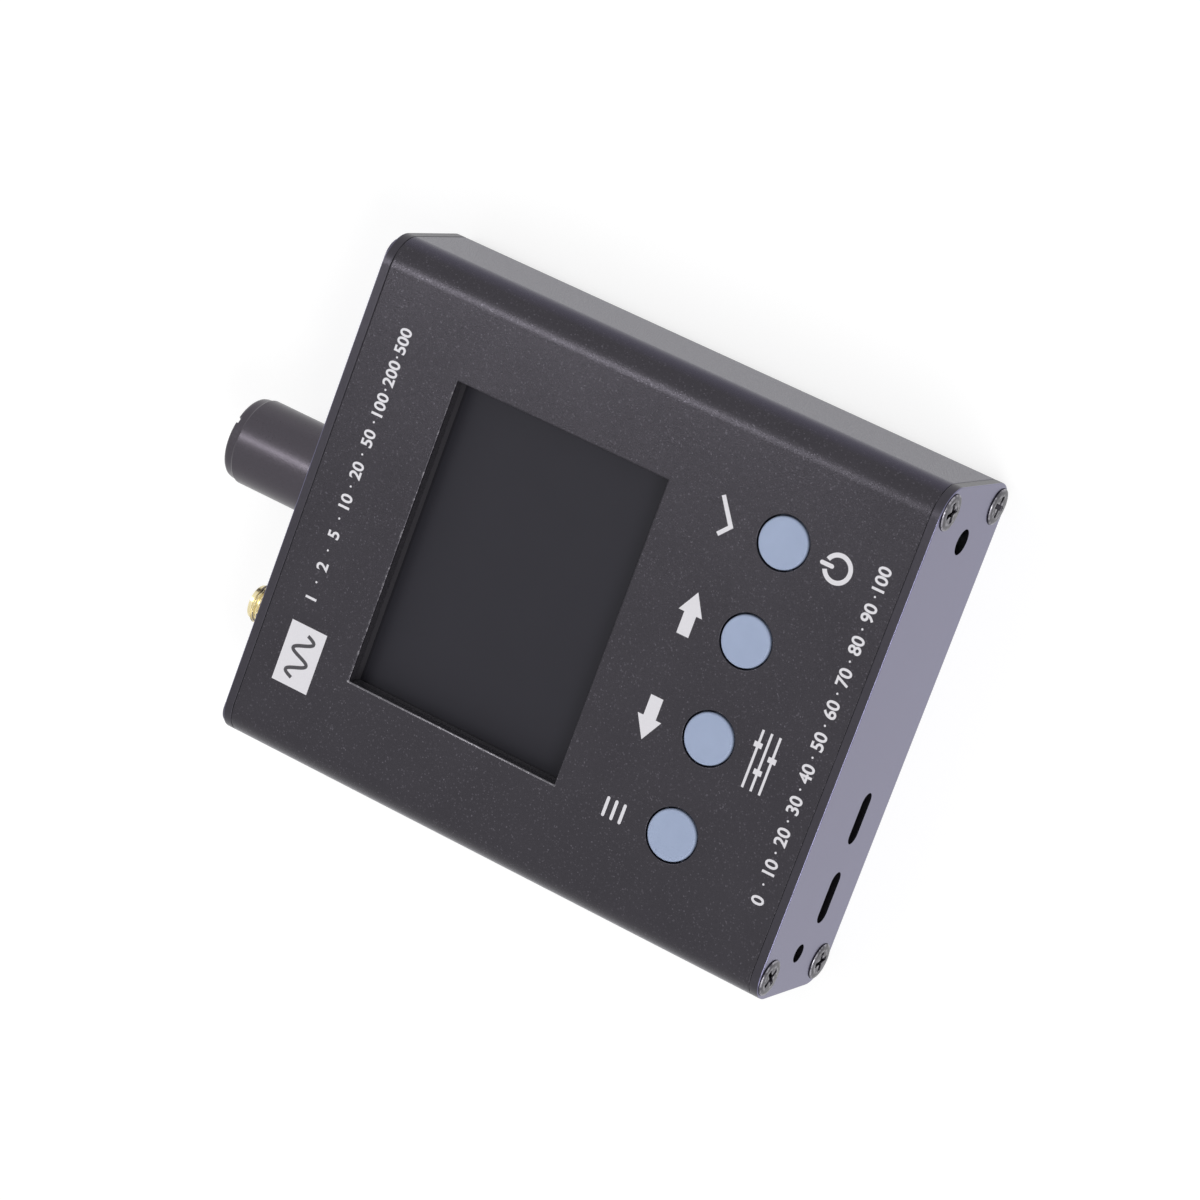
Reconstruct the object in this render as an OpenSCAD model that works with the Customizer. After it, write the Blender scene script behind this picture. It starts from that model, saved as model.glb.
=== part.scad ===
// Handheld antenna analyzer, lying on its back: an extruded aluminium sleeve closed by two
// screwed end plates, with a recessed display, four round keys, a rotary knob and an antenna jack.
// Origin: centre of the back face. +X to the reader's right, +Y to the antenna end, +Z out of the
// display. All sizes are in millimetres.

/* [Case] */
// Width of the case across the sleeve
case_w = 82; // [80:0.5:100]
// Length of the case over both end plates
case_len = 97; // [95:0.5:120]
// Thickness of the case from its back face to its front face
case_t = 25.5; // [25:0.25:32]
// Radius of the four long edges
edge_r = 5; // [3:0.25:6]
// Thickness of the sleeve's wall
wall_t = 2; // [1.5:0.1:2.5]
// Thickness of each end plate
plate_t = 1.5; // [1.5:0.1:2.5]
// Height of each rail that guides the main board, from the side wall
rail_reach = 1.8; // [1.2:0.1:2.5]
// Thickness of each rail
rail_t = 1.2; // [0.8:0.1:1.6]

/* [Display] */
// Width of the window in the front wall
window_w = 49.2; // [44:0.1:52]
// Height of the window
window_h = 37.3; // [32:0.1:40]
// Distance of the window's centre from the sleeve's antenna end
window_drop = 35.6; // [34:0.1:38]
// Depth of the display's surface below the front face
screen_depth = 4; // [3.4:0.1:5]
// Width of the display module
display_w = 59.5; // [57:0.1:61]
// Height of the display module
display_h = 42.7; // [41:0.1:44]
// Distance of the module's left edge beyond the window
display_left = 2.5; // [1:0.1:4]
// Thickness of the glass sandwich
glass_t = 1; // [0.7:0.1:1.4]
// Thickness of the backlight tray
backlight_t = 2.9; // [2:0.1:3.4]
// Width of the frame between the window and the glass
bezel_rim = 2.2; // [1.5:0.1:3]
// Distance that the frame stands back from the window's edge
bezel_setback = 0.2; // [0:0.05:0.5]
// Width of the flat cable
flex_w = 28; // [20:0.5:34]
// Thickness of the flat cable
flex_t = 0.12; // [0.1:0.01:0.2]

/* [Keys] */
// Diameter of each key cap
key_d = 8; // [6:0.1:9]
// Distance between neighbouring keys
key_pitch = 15.64; // [13:0.02:17]
// Distance of the key row from the sleeve's lower end
key_rise = 19.4; // [18:0.1:23]
// Gap round each cap in the front wall
key_gap = 0.2; // [0.1:0.05:0.4]
// Height of the caps above the front face
key_proud = 0.2; // [0:0.05:1]
// Travel of a key
key_travel = 0.35; // [0.2:0.05:0.5]
// Width of the flange that keeps a cap in the case
key_flange = 0.8; // [0.5:0.1:1.2]
// Thickness of that flange
key_flange_t = 0.8; // [0.5:0.1:1]
// Side of a key switch
switch_w = 6; // [5:0.1:6.5]
// Height of a key switch over its cover
switch_h = 3.4; // [3:0.1:3.6]
// Diameter of the switch's plunger
plunger_d = 3.4; // [2.5:0.1:3.6]

/* [Knob] */
// Diameter of the knob
knob_d = 14; // [14:0.1:18]
// Length of the knob
knob_len = 15.8; // [15:0.1:20]
// Clearance under the knob
knob_gap = 1.2; // [0.8:0.1:2]
// Height of the knob's axis above the middle of the case
knob_rise = 1.75; // [0.5:0.05:2]
// Length of the bevelled edge at the knob's tip
knob_bevel_len = 1.5; // [0.5:0.1:2]
// Depth of the bevelled edge
knob_bevel = 0.6; // [0.2:0.1:1]
// Width of the pointer groove in the knob's tip
pointer_w = 1; // [0.6:0.1:2]
// Depth of the pointer groove
pointer_deep = 0.5; // [0.2:0.1:0.8]
// Angle of the pointer groove from +X towards +Z
pointer_angle = 60; // [0:1:359]
// Diameter of the encoder's shaft
shaft_d = 6; // [5:0.1:6.2]
// Reach of the shaft beyond the end plate's inner face
shaft_reach = 15; // [14:0.1:16]
// Outer diameter of the threaded bushing
bushing_d = 7; // [6.8:0.1:7.4]
// Reach of the bushing beyond the end plate's inner face
bushing_reach = 7; // [6:0.1:7.5]
// Push travel of the knob
push_travel = 0.5; // [0.2:0.05:0.6]
// Width of the encoder's body
encoder_w = 12; // [11.5:0.1:13]
// Height of the encoder's body
encoder_h = 11.7; // [11.5:0.1:12.5]
// Depth of the encoder's plastic base
encoder_base_t = 6; // [5.6:0.1:7]
// Thickness of the encoder's metal face
encoder_face_t = 1; // [0.6:0.1:1.4]

/* [Antenna jack] */
// Distance of the jack's axis from the left side of the case
jack_inset = 17.6; // [15:0.1:22]
// Diameter over the jack's thread
jack_d = 6.35; // [6:0.05:7]
// Reach of the jack beyond the end plate's outer face
jack_reach = 6.7; // [6:0.1:9]
// Length of the unthreaded lead at the jack's tip
jack_lead = 0.8; // [0.4:0.1:1.2]
// Diameter of that lead
jack_lead_d = 5.5; // [5.2:0.05:5.8]
// Diameter of the jack's insulator
insulator_d = 4; // [3.6:0.1:4.2]
// Diameter of the centre contact
contact_d = 1.27; // [1:0.01:1.4]
// Side of the jack's square flange
jack_flange_w = 6.35; // [6.3:0.05:7]
// Thickness of the jack's flange
jack_flange_t = 1.6; // [1:0.1:2]

/* [Ports] */
// Distance of the left port's slot from the left side of the case
port_inset = 15.2; // [14:0.1:17]
// Distance between the two ports
port_pitch = 13; // [11:0.1:15]
// Width of each slot in the end plate
port_slot_w = 8.4; // [8:0.1:10]
// Height of each slot
port_slot_h = 3.2; // [3:0.1:4.5]
// Width of each socket's shell
port_w = 7.4; // [7:0.1:7.8]
// Height of each socket's shell
port_h = 2.75; // [2.5:0.05:2.9]
// Depth of each socket's shell
port_deep = 5.6; // [5:0.1:7]
// Distance of the sound hole from the right side of the case
sound_inset = 9; // [8.5:0.1:12]
// Diameter of the sound hole
sound_d = 4.1; // [3:0.1:4.6]
// Distance of the sound hole's centre below the main board's front
sound_drop = 0.3; // [0:0.1:0.5]
// Distance of the charge lamp from the left side of the case
lamp_inset = 6.5; // [6:0.1:8]
// Diameter of the lamp's hole
lamp_hole_d = 3; // [2:0.1:3.4]
// Height of the lamp's hole above the main board's front
lamp_rise = 0.7; // [0.4:0.1:1.4]
// Width and length of the buzzer
buzzer_w = 8.4; // [6:0.1:9]
// Height of the buzzer
buzzer_h = 2.2; // [1.5:0.1:2.6]
// Width of the charge lamp
lamp_w = 1.8; // [1:0.1:2.4]

/* [Boards] */
// Thickness of each circuit board
board_t = 1.6; // [1.2:0.1:1.8]
// Height of the space between the two boards
stack_gap = 3.2; // [2.8:0.1:3.8]
// Width of the display board beyond its left spacers' screw heads
display_board_rim = 3.1; // [2:0.1:4]
// Overhang of the display board beyond its spacers' screw heads
board_edge = 0.3; // [0.1:0.1:1]
// Distance of the spacers beyond the window's sides
spacer_reach = 3.4; // [2.5:0.1:4]
// Distance of the lower pair of spacers beyond the key row
spacer_drop = 5.4; // [5.2:0.1:6.5]
// Diameter of each spacer
spacer_d = 4; // [3.5:0.1:4.5]
// Distance of the shield can from the left side of the case
shield_inset = 6.8; // [6.7:0.1:8]
// Width of the shield can
shield_w = 13; // [10:0.5:13]
// Length of the shield can
shield_len = 20; // [14:0.5:20]
// Height of the shield can
shield_h = 3; // [2:0.1:3.4]
// Thickness of the shield can's sheet
shield_t = 0.2; // [0.15:0.05:0.4]

/* [Chips] */
// Side of the processor
processor_w = 14; // [7:0.5:16]
// Height of the processor
processor_h = 1.4; // [1:0.1:1.6]
// Length of each support chip
chip_len = 5; // [3:0.1:6]
// Side of the power inductor
inductor_w = 6; // [4:0.1:7]
// Length of each capacitor
capacitor_len = 2; // [1:0.1:3.2]
// Length of each resistor
resistor_len = 1.6; // [1:0.1:2]
// Distance between neighbouring capacitors
capacitor_pitch = 5; // [4:0.1:7]
// Distance between neighbouring resistors
resistor_pitch = 4; // [3:0.1:6]

/* [Battery] */
// Width of the battery
battery_w = 50; // [40:0.5:52]
// Length of the battery
battery_len = 54; // [40:0.5:54]
// Thickness of the battery
battery_t = 5; // [4:0.1:5.6]
// Thickness of the adhesive pad under the battery
pad_t = 0.3; // [0.2:0.05:0.5]
// Place of the battery's middle across the case
battery_x = 4; // [2:0.1:6]
// Distance of the battery's end with the leads from the sleeve's antenna end
battery_drop = 21; // [20:0.1:24]
// Diameter of each battery lead
lead_d = 1.2; // [0.8:0.1:1.4]

/* [Fasteners] */
// Distance of the end plates' screws from the sides of the case
screw_inset_x = 3.8; // [3.6:0.05:4.4]
// Distance of the end plates' screws from the front and back of the case
screw_inset_z = 3.35; // [3.2:0.05:3.8]
// Thread diameter of the end plates' screws
screw_d = 3; // [2.5:0.1:3]
// Head diameter of the end plates' screws
screw_head_d = 5.75; // [5:0.05:5.9]
// Height of the screws' heads above the end plates
screw_head_rise = 0.35; // [0.1:0.05:0.6]
// Length of the end plates' screws
screw_len = 8; // [6:0.5:12]
// Wall round each screw's channel
channel_wall = 1.4; // [1.1:0.1:1.6]
// Thread diameter of the spacers' screws
small_screw_d = 2; // [1.6:0.1:2.2]
// Head diameter of the spacers' screws
small_head_d = 3.8; // [3:0.1:4]
// Head height of the spacers' screws
small_head_h = 1.3; // [0.8:0.1:1.4]

/* [Clearances] */
// Clearance between parts that are fixed to each other
fit = 0.05; // [0.03:0.01:0.08]
// Clearance of the running fits
run_fit = 0.05; // [0.03:0.01:0.08]
// Clearance between a board's edge and what it faces
board_gap = 0.3; // [0.2:0.05:0.5]

/* [Hidden] */
$fn = 64;

// Overrun of a cut beyond the face that it opens
cut = 1;

// Colours as the object shows them
charcoal = "#434146";
black = "#232227";
screen_grey = "#3d3b42";
key_blue = "#a0adc6";
gold = "#c9ab5e";
steel = "#8f9096";
board_green = "#1f5a3a";
chip_black = "#26262a";
foil_silver = "#b9bcc2";

// Levels through the case
side_x = case_w / 2;
sleeve_y = case_len / 2 - plate_t;
plate_y = case_len / 2;
inner_z = case_t - wall_t;
glass_z = case_t - screen_depth;
display_board_top = glass_z - glass_t - backlight_t;
display_board_z = display_board_top - board_t;
main_top = display_board_z - stack_gap;
main_board_z = main_top - board_t;
window_y = sleeve_y - window_drop;
key_y = key_rise - sleeve_y;

// Screws of the end plates
screw_x = side_x - screw_inset_x;
screw_half_z = case_t / 2 - screw_inset_z;
screw_head_h = (screw_head_d - screw_d) / 2;
recess_w = 0.7;
recess_len = 3;
recess_deep = 0.9;

// Display module and its flat cable
display_x0 = -window_w / 2 - display_left;
display_x1 = display_x0 + display_w;
display_y0 = window_y - display_h / 2;
display_y1 = window_y + display_h / 2;
flex_r = (display_board_top + backlight_t - display_board_z) / 2;
flex_mid_z = display_board_z + flex_r - 2 * flex_t;
flex_straight = 0.2;
flex_return = 2.4;
flex_socket_w = 4;
flex_socket_h = 1.1;
flex_socket_rim = 1;
flex_socket_x1 = display_x1 - flex_return;

// Spacers between the boards
small_head_r = small_head_d / 2;
spacer_x = window_w / 2 + spacer_reach;
spacer_y = key_y - spacer_drop;
spacer_y1 = display_y1 + board_gap + small_head_r;
display_board_y0 = spacer_y - small_head_r - 2;
display_board_y1 = spacer_y1 + small_head_r + board_edge;
spacer_places = [
    [-spacer_x, spacer_y], [spacer_x, spacer_y], [-spacer_x, spacer_y1], [spacer_x, spacer_y1]
];

// Key caps, switches and plungers
key_x = [for (i = [0:3]) key_pitch * (1.5 - i)];
cap_stop_z = inner_z - fit;
cap_z0 = cap_stop_z - key_flange_t;
cap_top = case_t + key_proud;
cap_bevel = 0.25;
cap_socket_deep = 1.4;
plunger_top = cap_z0 + cap_socket_deep;
cover_t = 0.3;
switch_floor = 0.6;
cavity_wall = 0.7;
cavity_r = switch_w / 2 - cavity_wall;
plunger_flange_t = 1;
plunger_flange_z = display_board_top + switch_h - cover_t - fit - plunger_flange_t;
dome_rim = 0.3;
dome_r = cavity_r - dome_rim;
dome_h = plunger_flange_z - display_board_top - switch_floor - key_travel - 2 * fit;
dome_sheet = 0.1;

// Encoder: its layers from the end plate inwards
encoder_face_y = sleeve_y - encoder_face_t;
encoder_back_y = encoder_face_y - encoder_base_t;
encoder_board_y = encoder_back_y - board_t;
encoder_board_w = encoder_w + 4;
encoder_board_h = encoder_h + 5.5;
knob_z = case_t / 2 + knob_rise;
encoder_board_z0 = max(knob_z - encoder_board_h / 2, wall_t + board_gap);
encoder_board_z1 = min(knob_z + encoder_board_h / 2, inner_z - board_gap);
encoder_clamp_t = 0.4;
rotor_r = encoder_h / 2 - 0.85;
rotor_t = 1.2;
rotor_play = 0.2;
rotor_y = encoder_face_y - rotor_play - rotor_t;
rotor_cavity_y = rotor_y - push_travel - rotor_play;
shaft_end_y = rotor_y - 1.1;
plunger_disc_r = shaft_d / 2;
plunger_disc_t = 1.3;
plunger_disc_y = shaft_end_y - fit - plunger_disc_t;
well_floor_y = encoder_back_y + 0.4;
dome_gap = 0.1;
terminal_w = 0.8;
terminal_t = 0.4;
terminal_reach = encoder_h / 2 + 0.9;
terminal_pitch = 2.5;
terminal_hole_r = 0.5;
header_pitch = 2.54;
header_pins = 5;
header_y1 = encoder_board_y - 2 * board_gap;
header_pin_z = main_board_z - header_pitch / 2;
shaft_tip_y = sleeve_y + shaft_reach;
bushing_tip_y = sleeve_y + bushing_reach;
flat_cut = 1.5;
washer_t = 0.5;
encoder_nut_t = 2;
encoder_nut_af = 10;
washer_rim = 2;

// Knob
knob_y0 = plate_y + knob_gap;
knob_y1 = knob_y0 + knob_len;
knob_r = knob_d / 2;
knob_wall = 0.8;
knob_recess_y = plate_y + washer_t + encoder_nut_t + push_travel + 0.8;
core_r = knob_r - 2;
core_y1 = shaft_tip_y + 1;
core_pocket_y = bushing_tip_y + push_travel + 0.2;
flat_start_y = core_pocket_y - 0.2;

// Antenna jack: the tail of its contact lies on the main board
tail_r = 0.38;
jack_x = side_x - jack_inset;
jack_z = main_top + tail_r + fit / 2;
jack_back_y = sleeve_y - jack_flange_t;
jack_tip_y = plate_y + jack_reach;
jack_mouth_deep = 1.9;
jack_mouth_r = jack_lead_d / 2 - 0.45;
jack_groove_w = 0.6;
jack_groove_deep = 0.3;
jack_groove_hidden = 0.4;
jack_washer_t = 0.4;
jack_nut_t = 1.8;
jack_nut_af = 8;
jack_leg = 1;
jack_leg_len = 3.6;
contact_recess = 1;
contact_bore_r = contact_d / 2 - 0.18;
contact_bore_deep = 3;

// Ports and small openings
port_z1 = main_board_z - fit;
port_mid_z = port_z1 - port_h / 2;
port_sheet = 0.25;
port_y0 = -sleeve_y + board_gap;
port_x = [for (i = [0, 1]) port_inset + i * port_pitch - side_x];
sound_x = side_x - sound_inset;
sound_z = main_top - sound_drop;
lamp_x = side_x - lamp_inset;
lamp_z = main_top + lamp_rise;
end_gap = board_gap + 0.2;
tongue_t = 0.6;
tongue_w = 3.7;

// Shield can, battery and its plug
battery_end_y = sleeve_y - battery_drop;
shield_x0 = shield_inset - side_x;
shield_y1 = spacer_y1 - small_head_r - 1;
battery_z0 = wall_t + pad_t;
battery_r = battery_t / 2;
battery_x0 = battery_x - battery_w / 2;
battery_y0 = battery_end_y - battery_len;
socket_shift = 11.5;
socket_x = battery_x + socket_shift;
socket_w = 7;
socket_len = 6.5;
socket_h = 3.5;
socket_wall = 0.6;
socket_y0 = battery_end_y + 1.5;
plug_reach = 2;
lead_spread = 1;
lead_back = 3;

// ---------------------------------------------------------------- helpers

// A box given by its lowest and highest corners
module block(low, high) {
    translate(low) cube(high - low);
}

// A rod along Y between two places
module rod_y(x, z, y_low, y_high, r) {
    translate([x, y_low, z]) rotate([-90, 0, 0]) cylinder(r = r, h = y_high - y_low);
}

// A hexagonal prism along Y, given by its width across flats
module hex_y(x, z, y_low, y_high, across) {
    translate([x, y_low, z]) rotate([-90, 0, 0])
        cylinder(r = across / sqrt(3), h = y_high - y_low, $fn = 6);
}

// A flat outline in X and Z, drawn out along Y
module along_y(y_low, y_high) {
    translate([0, y_high, 0]) rotate([90, 0, 0]) linear_extrude(height = y_high - y_low) children();
}

// A rectangle with round corners, centred
module round_rect(w, h, r) {
    square([w - 2 * r, h], center = true);
    square([w, h - 2 * r], center = true);
    for (sx = [-1, 1], sy = [-1, 1])
        translate([sx * (w / 2 - r), sy * (h / 2 - r)]) circle(r = r);
}

// The case's outline, drawn in by an inset
module case_outline(inset) {
    translate([0, case_t / 2])
        round_rect(case_w - 2 * inset, case_t - 2 * inset, edge_r - inset);
}

// Places of an end plate's four screws, in X and Z
module at_plate_screws() {
    for (sx = [-1, 1], sz = [-1, 1])
        translate([sx * screw_x, 0, case_t / 2 + sz * screw_half_z]) children();
}

// The four corners of the spacer pattern
module at_spacers() {
    for (p = spacer_places) translate([p[0], p[1], 0]) children();
}

// A wire through the given points, with ball joints at its bends
module wire(points, r) {
    for (i = [0:len(points) - 2]) {
        run = points[i + 1] - points[i];
        reach = norm(run);
        translate(points[i]) rotate([0, acos(run[2] / reach), atan2(run[1], run[0])])
            cylinder(r = r, h = reach);
    }
    for (i = [1:len(points) - 2]) translate(points[i]) sphere(r = r);
}

// ---------------------------------------------------------------- case

// A screw channel with the webs that join it to the wall of the sleeve
module screw_channel(sx, sz) {
    r = screw_d / 2 + channel_wall;
    wall_x = sx * side_x;
    edge_z = case_t / 2 + sz * case_t / 2;
    mid_z = case_t / 2 + sz * screw_half_z;
    rod_y(sx * screw_x, mid_z, -sleeve_y, sleeve_y, r);
    block(
        [min(sx * screw_x, wall_x), -sleeve_y, min(mid_z, edge_z)],
        [max(sx * screw_x, wall_x), sleeve_y, max(mid_z, edge_z)]
    );
}

// The two rails that hold one side of the main board
module board_rails(sx) {
    x0 = min(sx * (side_x - wall_t - rail_reach), sx * (side_x - wall_t / 2));
    x1 = max(sx * (side_x - wall_t - rail_reach), sx * (side_x - wall_t / 2));
    for (z = [main_top + fit, main_board_z - fit - rail_t])
        block([x0, -sleeve_y, z], [x1, sleeve_y, z + rail_t]);
}

module case_sleeve() {
    color(charcoal) difference() {
        union() {
            difference() {
                along_y(-sleeve_y, sleeve_y) case_outline(0);
                along_y(-sleeve_y - cut, sleeve_y + cut) case_outline(wall_t);
            }
            intersection() {
                along_y(-sleeve_y, sleeve_y) case_outline(wall_t / 2);
                union() for (sx = [-1, 1], sz = [-1, 1]) screw_channel(sx, sz);
            }
            for (sx = [-1, 1]) board_rails(sx);
        }
        translate([0, window_y, inner_z + wall_t / 2])
            cube([window_w, window_h, wall_t + 2 * cut], center = true);
        for (x = key_x)
            translate([x, key_y, inner_z - cut]) cylinder(r = key_d / 2 + key_gap, h = wall_t + 2 * cut);
        at_plate_screws() rod_y(0, 0, -sleeve_y - cut, sleeve_y + cut, screw_d / 2);
    }
}

// An end plate with its countersunk screw holes; side is -1 at the bottom and 1 at the top
module end_plate(side) {
    along_y(min(side * sleeve_y, side * plate_y), max(side * sleeve_y, side * plate_y)) case_outline(0);
}

module plate_screw_holes(side) {
    at_plate_screws() {
        rod_y(0, 0, side > 0 ? sleeve_y - cut : -plate_y - cut, side > 0 ? plate_y + cut : cut - sleeve_y,
            screw_d / 2 + fit);
        translate([0, side * plate_y, 0]) rotate([side * 90, 0, 0])
            cylinder(r1 = screw_head_d / 2 + fit, r2 = screw_d / 2 + fit, h = screw_head_h);
    }
}

module top_end_plate() {
    color(charcoal) difference() {
        end_plate(1);
        plate_screw_holes(1);
        rod_y(0, knob_z, sleeve_y - cut, plate_y + cut, bushing_d / 2 + fit);
        rod_y(-jack_x, jack_z, sleeve_y - cut, plate_y + cut, jack_d / 2 + fit);
    }
}

// A slot with round ends through the bottom plate
module port_slot(x) {
    reach = (port_slot_w - port_slot_h) / 2;
    translate([x, 0, port_mid_z]) {
        for (side = [-1, 1]) rod_y(side * reach, 0, -plate_y - cut, cut - sleeve_y, port_slot_h / 2);
        block([-reach, -plate_y - cut, -port_slot_h / 2], [reach, cut - sleeve_y, port_slot_h / 2]);
    }
}

module bottom_end_plate() {
    color(charcoal) difference() {
        end_plate(-1);
        plate_screw_holes(-1);
        for (x = port_x) port_slot(x);
        rod_y(sound_x, sound_z, -plate_y - cut, cut - sleeve_y, sound_d / 2);
        rod_y(-lamp_x, lamp_z, -plate_y - cut, cut - sleeve_y, lamp_hole_d / 2);
    }
}

// A countersunk cross-head screw with a rim above its cone: the cone's wide end at the origin,
// the shank along +Z
module countersunk_screw() {
    difference() {
        union() {
            translate([0, 0, -screw_head_rise])
                cylinder(r = screw_head_d / 2, h = screw_head_rise);
            cylinder(r1 = screw_head_d / 2, r2 = screw_d / 2 - fit, h = screw_head_h + fit);
            cylinder(r = screw_d / 2 - fit, h = screw_len);
        }
        for (turn = [0, 90]) rotate([0, 0, turn])
            translate([-recess_len / 2, -recess_w / 2, -screw_head_rise - cut])
                cube([recess_len, recess_w, recess_deep + cut]);
    }
}

module end_plate_screws() {
    color(steel) for (side = [-1, 1])
        translate([0, side * plate_y, 0]) at_plate_screws() rotate([side * 90, 0, 0]) countersunk_screw();
}

// ---------------------------------------------------------------- display

module display_bezel() {
    w = window_w + 2 * bezel_setback;
    h = window_h + 2 * bezel_setback;
    color(black) translate([0, window_y, glass_z]) linear_extrude(height = inner_z - glass_z)
        difference() {
            square([w + 2 * bezel_rim, h + 2 * bezel_rim], center = true);
            square([w, h], center = true);
        }
}

module display_glass() {
    color(screen_grey) block(
        [display_x0, display_y0, glass_z - glass_t],
        [display_x1, display_y1, glass_z]
    );
}

module display_backlight() {
    color("#d8d8d4") block(
        [display_x0, display_y0, display_board_top],
        [display_x1, display_y1, glass_z - glass_t]
    );
}

// The flat cable leaves the glass, turns round the board's edge and enters its socket
module display_flex() {
    turn_x = display_x1 + flex_straight;
    color("#b8742c") along_y(window_y - flex_w / 2, window_y + flex_w / 2) {
        translate([display_x1, flex_mid_z + flex_r - flex_t]) square([flex_straight, flex_t]);
        translate([flex_socket_x1, flex_mid_z - flex_r]) square([turn_x - flex_socket_x1, flex_t]);
        difference() {
            translate([turn_x, flex_mid_z]) circle(r = flex_r);
            translate([turn_x, flex_mid_z]) circle(r = flex_r - flex_t);
            translate([turn_x - 2 * flex_r, flex_mid_z - 2 * flex_r]) square([2 * flex_r, 4 * flex_r]);
        }
    }
}

module display_flex_socket() {
    socket_z = display_board_z - flex_socket_h;
    color(black) block(
        [flex_socket_x1 - flex_socket_w, window_y - flex_w / 2 - flex_socket_rim, socket_z],
        [flex_socket_x1, window_y + flex_w / 2 + flex_socket_rim, display_board_z]
    );
}

module display_board() {
    left = -spacer_x - small_head_r - display_board_rim;
    right = min(-left, display_x1 + flex_straight);
    color(board_green) difference() {
        block(
            [left, display_board_y0, display_board_z],
            [right, display_board_y1, display_board_top]
        );
        at_spacers() translate([0, 0, display_board_z - cut])
            cylinder(r = small_screw_d / 2 + fit, h = board_t + 2 * cut);
        block(
            [-encoder_board_w / 2 - board_gap, encoder_board_y - board_gap - 0.2, display_board_z - cut],
            [encoder_board_w / 2 + board_gap, display_board_y1 + cut, display_board_top + cut]
        );
    }
}

module board_spacers() {
    color(gold) at_spacers() translate([0, 0, main_top]) difference() {
        cylinder(r = spacer_d / 2, h = stack_gap);
        translate([0, 0, -cut]) cylinder(r = small_screw_d / 2, h = stack_gap + 2 * cut);
    }
}

// A pan-head screw with its head's underside at the origin and its shank along +Z
module small_screw() {
    difference() {
        union() {
            translate([0, 0, -small_head_h]) cylinder(r = small_head_r, h = small_head_h);
            cylinder(r = small_screw_d / 2 - fit, h = board_t + stack_gap / 2 - fit);
        }
        for (turn = [0, 90]) rotate([0, 0, turn])
            translate([-1, -0.25, -small_head_h - cut]) cube([2, 0.5, small_head_h / 2 + cut]);
    }
}

module spacer_screws() {
    color(steel) at_spacers() {
        translate([0, 0, main_board_z]) small_screw();
        translate([0, 0, display_board_top]) mirror([0, 0, 1]) small_screw();
    }
}

module board_connector() {
    color(black) translate([spacer_x / 3, -window_h / 2, main_top])
        cube([window_w / 3.5, window_h / 7.5, stack_gap]);
}

// ---------------------------------------------------------------- keys

// A key cap: round button, flange behind the wall and socket for the plunger
module key_cap(i) {
    translate([key_x[i], key_y, 0]) difference() {
        union() {
            translate([0, 0, cap_z0]) cylinder(r = key_d / 2 + key_flange, h = key_flange_t);
            translate([0, 0, cap_z0]) cylinder(r = key_d / 2, h = cap_top - cap_bevel - cap_z0);
            translate([0, 0, cap_top - cap_bevel])
                cylinder(r1 = key_d / 2, r2 = key_d / 2 - cap_bevel, h = cap_bevel);
        }
        translate([0, 0, cap_z0 - cut])
            cylinder(r = plunger_d / 2 + fit, h = cap_socket_deep + fit + cut);
    }
}

module power_key_cap() { color(key_blue) key_cap(0); }
module right_key_cap() { color(key_blue) key_cap(1); }
module left_key_cap() { color(key_blue) key_cap(2); }
module menu_key_cap() { color(key_blue) key_cap(3); }

// The plunger of a key switch: a flange kept under the cover and a stem into the cap
module key_plunger(i) {
    translate([key_x[i], key_y, plunger_flange_z]) {
        cylinder(r = cavity_r - run_fit, h = plunger_flange_t);
        cylinder(r = plunger_d / 2, h = plunger_top - plunger_flange_z);
    }
}

module power_key_plunger() { color(black) key_plunger(0); }
module right_key_plunger() { color(black) key_plunger(1); }
module left_key_plunger() { color(black) key_plunger(2); }
module menu_key_plunger() { color(black) key_plunger(3); }

module key_switch_bodies() {
    color(chip_black) for (x = key_x) translate([x, key_y, display_board_top]) difference() {
        translate([-switch_w / 2, -switch_w / 2, 0]) cube([switch_w, switch_w, switch_h - cover_t]);
        translate([0, 0, switch_floor]) cylinder(r = cavity_r, h = switch_h);
    }
}

module key_switch_covers() {
    z0 = display_board_top + switch_h - cover_t;
    color(steel) for (x = key_x) translate([x, key_y, z0]) difference() {
        translate([-switch_w / 2, -switch_w / 2, 0]) cube([switch_w, switch_w, cover_t]);
        translate([0, 0, -cut]) cylinder(r = plunger_d / 2 + run_fit, h = cover_t + 2 * cut);
    }
}

// A snap dome: a thin spherical cap that stands on the given floor, along +Z
module snap_dome(r, h) {
    ball_r = (r * r + h * h) / (2 * h);
    intersection() {
        translate([0, 0, h - ball_r]) difference() {
            sphere(r = ball_r);
            sphere(r = ball_r - dome_sheet);
        }
        cylinder(r = r + cut, h = h + cut);
    }
}

module key_switch_domes() {
    color(steel) for (x = key_x)
        translate([x, key_y, display_board_top + switch_floor]) snap_dome(dome_r, dome_h);
}

// ---------------------------------------------------------------- main board

module main_board() {
    half_w = side_x - wall_t - board_gap;
    end_y = sleeve_y - board_gap;
    color(board_green) difference() {
        block([-half_w, -end_y, main_board_z], [half_w, end_y, main_top]);
        at_spacers() translate([0, 0, main_board_z - cut])
            cylinder(r = small_screw_d / 2 + fit, h = board_t + 2 * cut);
        block(
            [-encoder_board_w / 2 - board_gap, encoder_board_y - board_gap, main_board_z - cut],
            [encoder_board_w / 2 + board_gap, end_y + cut, main_top + cut]
        );
        block(
            [-jack_x - jack_flange_w / 2 - board_gap, jack_back_y - fit, main_board_z - cut],
            [-jack_x + jack_flange_w / 2 + board_gap, end_y + cut, main_top + cut]
        );
    }
}

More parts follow.
